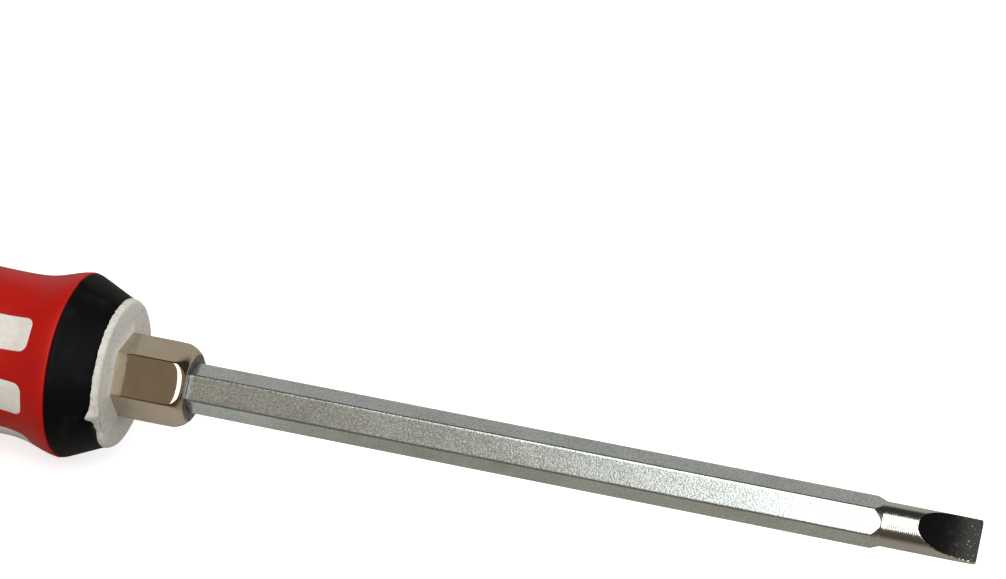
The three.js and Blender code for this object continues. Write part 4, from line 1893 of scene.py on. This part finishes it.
@dataclass(frozen=True)
class Studio:
    """Pale floor, one large soft light in front, dim surroundings and the camera.

    Attributes:
        lens: Focal length on a sensor of sensor_width.
        camera_place: Place of the camera from the handle's front face, on the axis.
        yaw: Turn of the camera to its left from +Y.
        pitch: Tilt of the camera down from level.
        roll: Turn of the camera about its own line of sight.
        floor_bounce: Floor as it lights dull surfaces.
        floor_front: Floor in front of the tool, as shiny surfaces show it.
        floor_left: Floor behind the tool's handle, as shiny surfaces show it.
        floor_right: Floor behind the tool's blade, as shiny surfaces show it.
        front_edge: Stretch of Y over which the floor changes from its front tone.
        right_edge: Stretch of X over which it changes from its left tone to its right one.
        light_low: Lower edge of the light, as an angle round the axis, as are the edges of the surroundings.
        light_left: Left edge of the light, as an angle from straight in front of light_aim.
        low_edge: Where the surroundings change from below to front.
        top_edge: Where they change from front to above.
        back_edge: Where they change from above to behind.
    """

    axis: ToolAxis
    lens: float = 109.8
    sensor_width: float = 36.0
    camera_place: Triple = (132.4, -332.99, 209.18)
    yaw: float = 13.689
    pitch: float = 28.46
    roll: float = 3.919
    near_clip: float = 10.0
    far_clip: float = 100000.0
    floor_size: float = 12000.0
    floor_seen: Colour = (0.9, 0.9, 0.9)
    floor_glow: float = 0.66
    floor_bounce: Colour = (0.4, 0.39, 0.37)
    floor_front: Colour = (0.1, 0.085, 0.07)
    floor_left: Colour = (0.62, 0.61, 0.59)
    floor_right: Colour = (0.45, 0.42, 0.37)
    front_edge: Limits = (-26.0, -8.0)
    right_edge: Limits = (4.0, 24.0)
    light_distance: float = 700.0
    light_low: float = 10.0
    light_high: float = 84.0
    light_left: float = -7.2
    light_right: float = 22.0
    light_aim: float = 60.0
    light_roll: float = 12.0
    light_radiance: float = 4.0
    fill_way: Triple = (0.8, 0.35, 0.75)
    fill_size: float = 900.0
    fill_radiance: float = 0.9
    below: Colour = (0.1, 0.085, 0.07)
    front: Colour = (0.288, 0.235, 0.176)
    above: Colour = (0.05, 0.045, 0.042)
    behind: Colour = (0.535, 0.512, 0.47)
    low_edge: Limits = (5.0, 14.0)
    top_edge: Limits = (80.0, 90.0)
    back_edge: Limits = (134.0, 146.0)

    def build(self) -> None:
        """Sets up the floor, the lights, the surroundings and the camera."""
        self.make_floor()
        self.make_light()
        self.make_fill()
        self.make_world()
        self.make_camera()
        bpy.context.scene.view_settings.view_transform = "Standard"

    def make_floor(self) -> None:
        """Lays the pale floor, which reads dimmer in reflections than it looks."""
        mesh = bpy.data.meshes.new("floor")
        half = self.floor_size * MM / 2
        corners = [(-half, -half, 0), (half, -half, 0), (half, half, 0), (-half, half, 0)]
        mesh.from_pydata(corners, [], [(0, 1, 2, 3)])
        paper = bpy.data.materials.new("pale_floor")
        paper.use_nodes = True
        brush = Brush(paper.node_tree)
        place = brush.place()
        past_front = brush.part(place, "Y").steps(*self.front_edge)
        to_right = brush.part(place, "X").steps(*self.right_edge)
        lit = brush.mix(to_right, self.floor_left, self.floor_right)
        shade = brush.mix(past_front, self.floor_front, lit)
        mirrored = brush.add("ShaderNodeBsdfDiffuse", None, {"Color": shade})
        bounced = brush.add("ShaderNodeBsdfDiffuse", None, {"Color": rgba(self.floor_bounce)})
        pale = brush.add("ShaderNodeBsdfDiffuse", None, {"Color": rgba(self.floor_seen)})
        glow = brush.add("ShaderNodeEmission", None, {"Color": rgba(WHITE), "Strength": self.floor_glow})
        seen = brush.add("ShaderNodeAddShader", None, {0: pale, 1: glow})
        unseen = brush.by_ray("Is Glossy Ray", bounced, mirrored)
        shader = brush.by_ray("Is Camera Ray", unseen, seen)
        brush.node("ShaderNodeOutputMaterial", None, {"Surface": shader})
        mesh.materials.append(paper)
        linked("floor", mesh)

    def make_light(self) -> None:
        """Hangs the soft light in front of the tool, above and behind the camera."""
        light = bpy.data.lights.new("softbox", "AREA")
        light.shape = "RECTANGLE"
        height = (self.light_low + self.light_high) / 2
        tall = 2 * self.light_distance * math.tan(math.radians((self.light_high - self.light_low) / 2))
        left = self.light_distance * math.tan(math.radians(self.light_left))
        right = self.light_distance * math.tan(math.radians(self.light_right))
        light.size = (right - left) * MM
        light.size_y = tall * MM
        light.energy = self.light_radiance * math.pi * light.size * light.size_y
        middle = self.axis.point(self.light_aim + (left + right) / 2, self.light_distance, height)
        way = self.axis.point(0.0, 1.0, height) - self.axis.point(0.0, 0.0, height)
        self.hang(light, middle, way, self.light_roll)

    def make_fill(self) -> None:
        """Hangs a fill light behind the point, which lights the handle's face and isn't reflected."""
        light = bpy.data.lights.new("fill", "AREA")
        light.size = self.fill_size * MM
        light.energy = self.fill_radiance * math.pi * light.size**2
        way = Vector(self.fill_way).normalized()
        self.hang(light, way * self.light_distance * MM, way).visible_glossy = False

    @staticmethod
    def hang(light: bpy.types.Light, place: Vector, way: Vector, roll: float = 0.0) -> bpy.types.Object:
        """Hangs a light that the camera doesn't see.

        Args:
            light: The light.
            place: Where its middle is.
            way: The way from what it lights to the light.
            roll: Its turn about that way.

        Returns:
            The lamp, linked to the scene.
        """
        lamp = linked(light.name, light)
        facing = way.to_track_quat("Z", "Y").to_matrix().to_4x4()
        lamp.matrix_world = Matrix.Translation(place) @ facing @ Matrix.Rotation(math.radians(roll), 4, "Z")
        lamp.visible_camera = False
        return lamp

    def make_world(self) -> None:
        """Paints the dim surroundings by the angle round the tool, and white behind for the camera."""
        world = bpy.data.worlds.new("surroundings")
        bpy.context.scene.world = world
        world.use_nodes = True
        brush = Brush(world.node_tree)
        way = brush.add("ShaderNodeTexCoord", output="Generated")
        height = brush.part(way, "Z")
        turn = height.math("ARCTAN2", height, -brush.part(way, "Y"))
        bands = (
            (-HALF_TURN, self.behind),
            (-QUARTER_TURN, self.below),
            (self.low_edge[0], self.below),
            (self.low_edge[1], self.front),
            (self.top_edge[0], self.front),
            (self.top_edge[1], self.above),
            (self.back_edge[0], self.above),
            (self.back_edge[1], self.behind),
            (HALF_TURN, self.behind),
        )
        stops = [((angle + HALF_TURN) / FULL_TURN, colour) for angle, colour in bands]
        share = turn * (1 / (2 * math.pi)) + HALF_TURN / FULL_TURN
        dim = brush.add("ShaderNodeValToRGB", {"stops": stops}, {0: share})
        around = brush.add("ShaderNodeBackground", None, {"Color": dim})
        white = brush.add("ShaderNodeBackground", None, {"Color": rgba(WHITE)})
        shader = brush.by_ray("Is Camera Ray", around, white)
        brush.node("ShaderNodeOutputWorld", None, {"Surface": shader})

    def make_camera(self) -> None:
        """Sets the camera at the photograph's viewpoint."""
        data = bpy.data.cameras.new("camera")
        data.sensor_width = self.sensor_width
        data.lens = self.lens
        data.clip_start = self.near_clip * MM
        data.clip_end = self.far_clip * MM
        yaw, pitch, roll = (math.radians(turn) for turn in (self.yaw, self.pitch, self.roll))
        along, across, up = self.camera_place
        place = Vector((self.axis.face_x + along, across, self.axis.height + up)) * MM
        turn = Matrix.Rotation(yaw, 4, "Z") @ Matrix.Rotation(math.pi / 2 - pitch, 4, "X")
        camera = linked("camera", data)
        camera.matrix_world = Matrix.Translation(place) @ turn @ Matrix.Rotation(roll, 4, "Z")
        bpy.context.scene.camera = camera


def main() -> None:
    """Builds and dresses each piece, then the studio."""
    logging.basicConfig(level=logging.INFO, format="%(message)s")
    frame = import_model()
    axis = ToolAxis.from_frame()
    outline = HandleOutline(axis)
    windows = Windows(outline)
    pieces: list[Piece] = [
        Blade(axis),
        Bolster(axis),
        HandleCore(axis, outline, windows),
        GripSleeve(axis, outline, windows),
        FrontRing(axis, outline),
        RearCap(axis, outline),
    ]
    for piece in pieces:
        piece.dress()
    InnerSteel().dress(frame)
    Studio(axis).build()


if __name__ == "__main__":
    main()
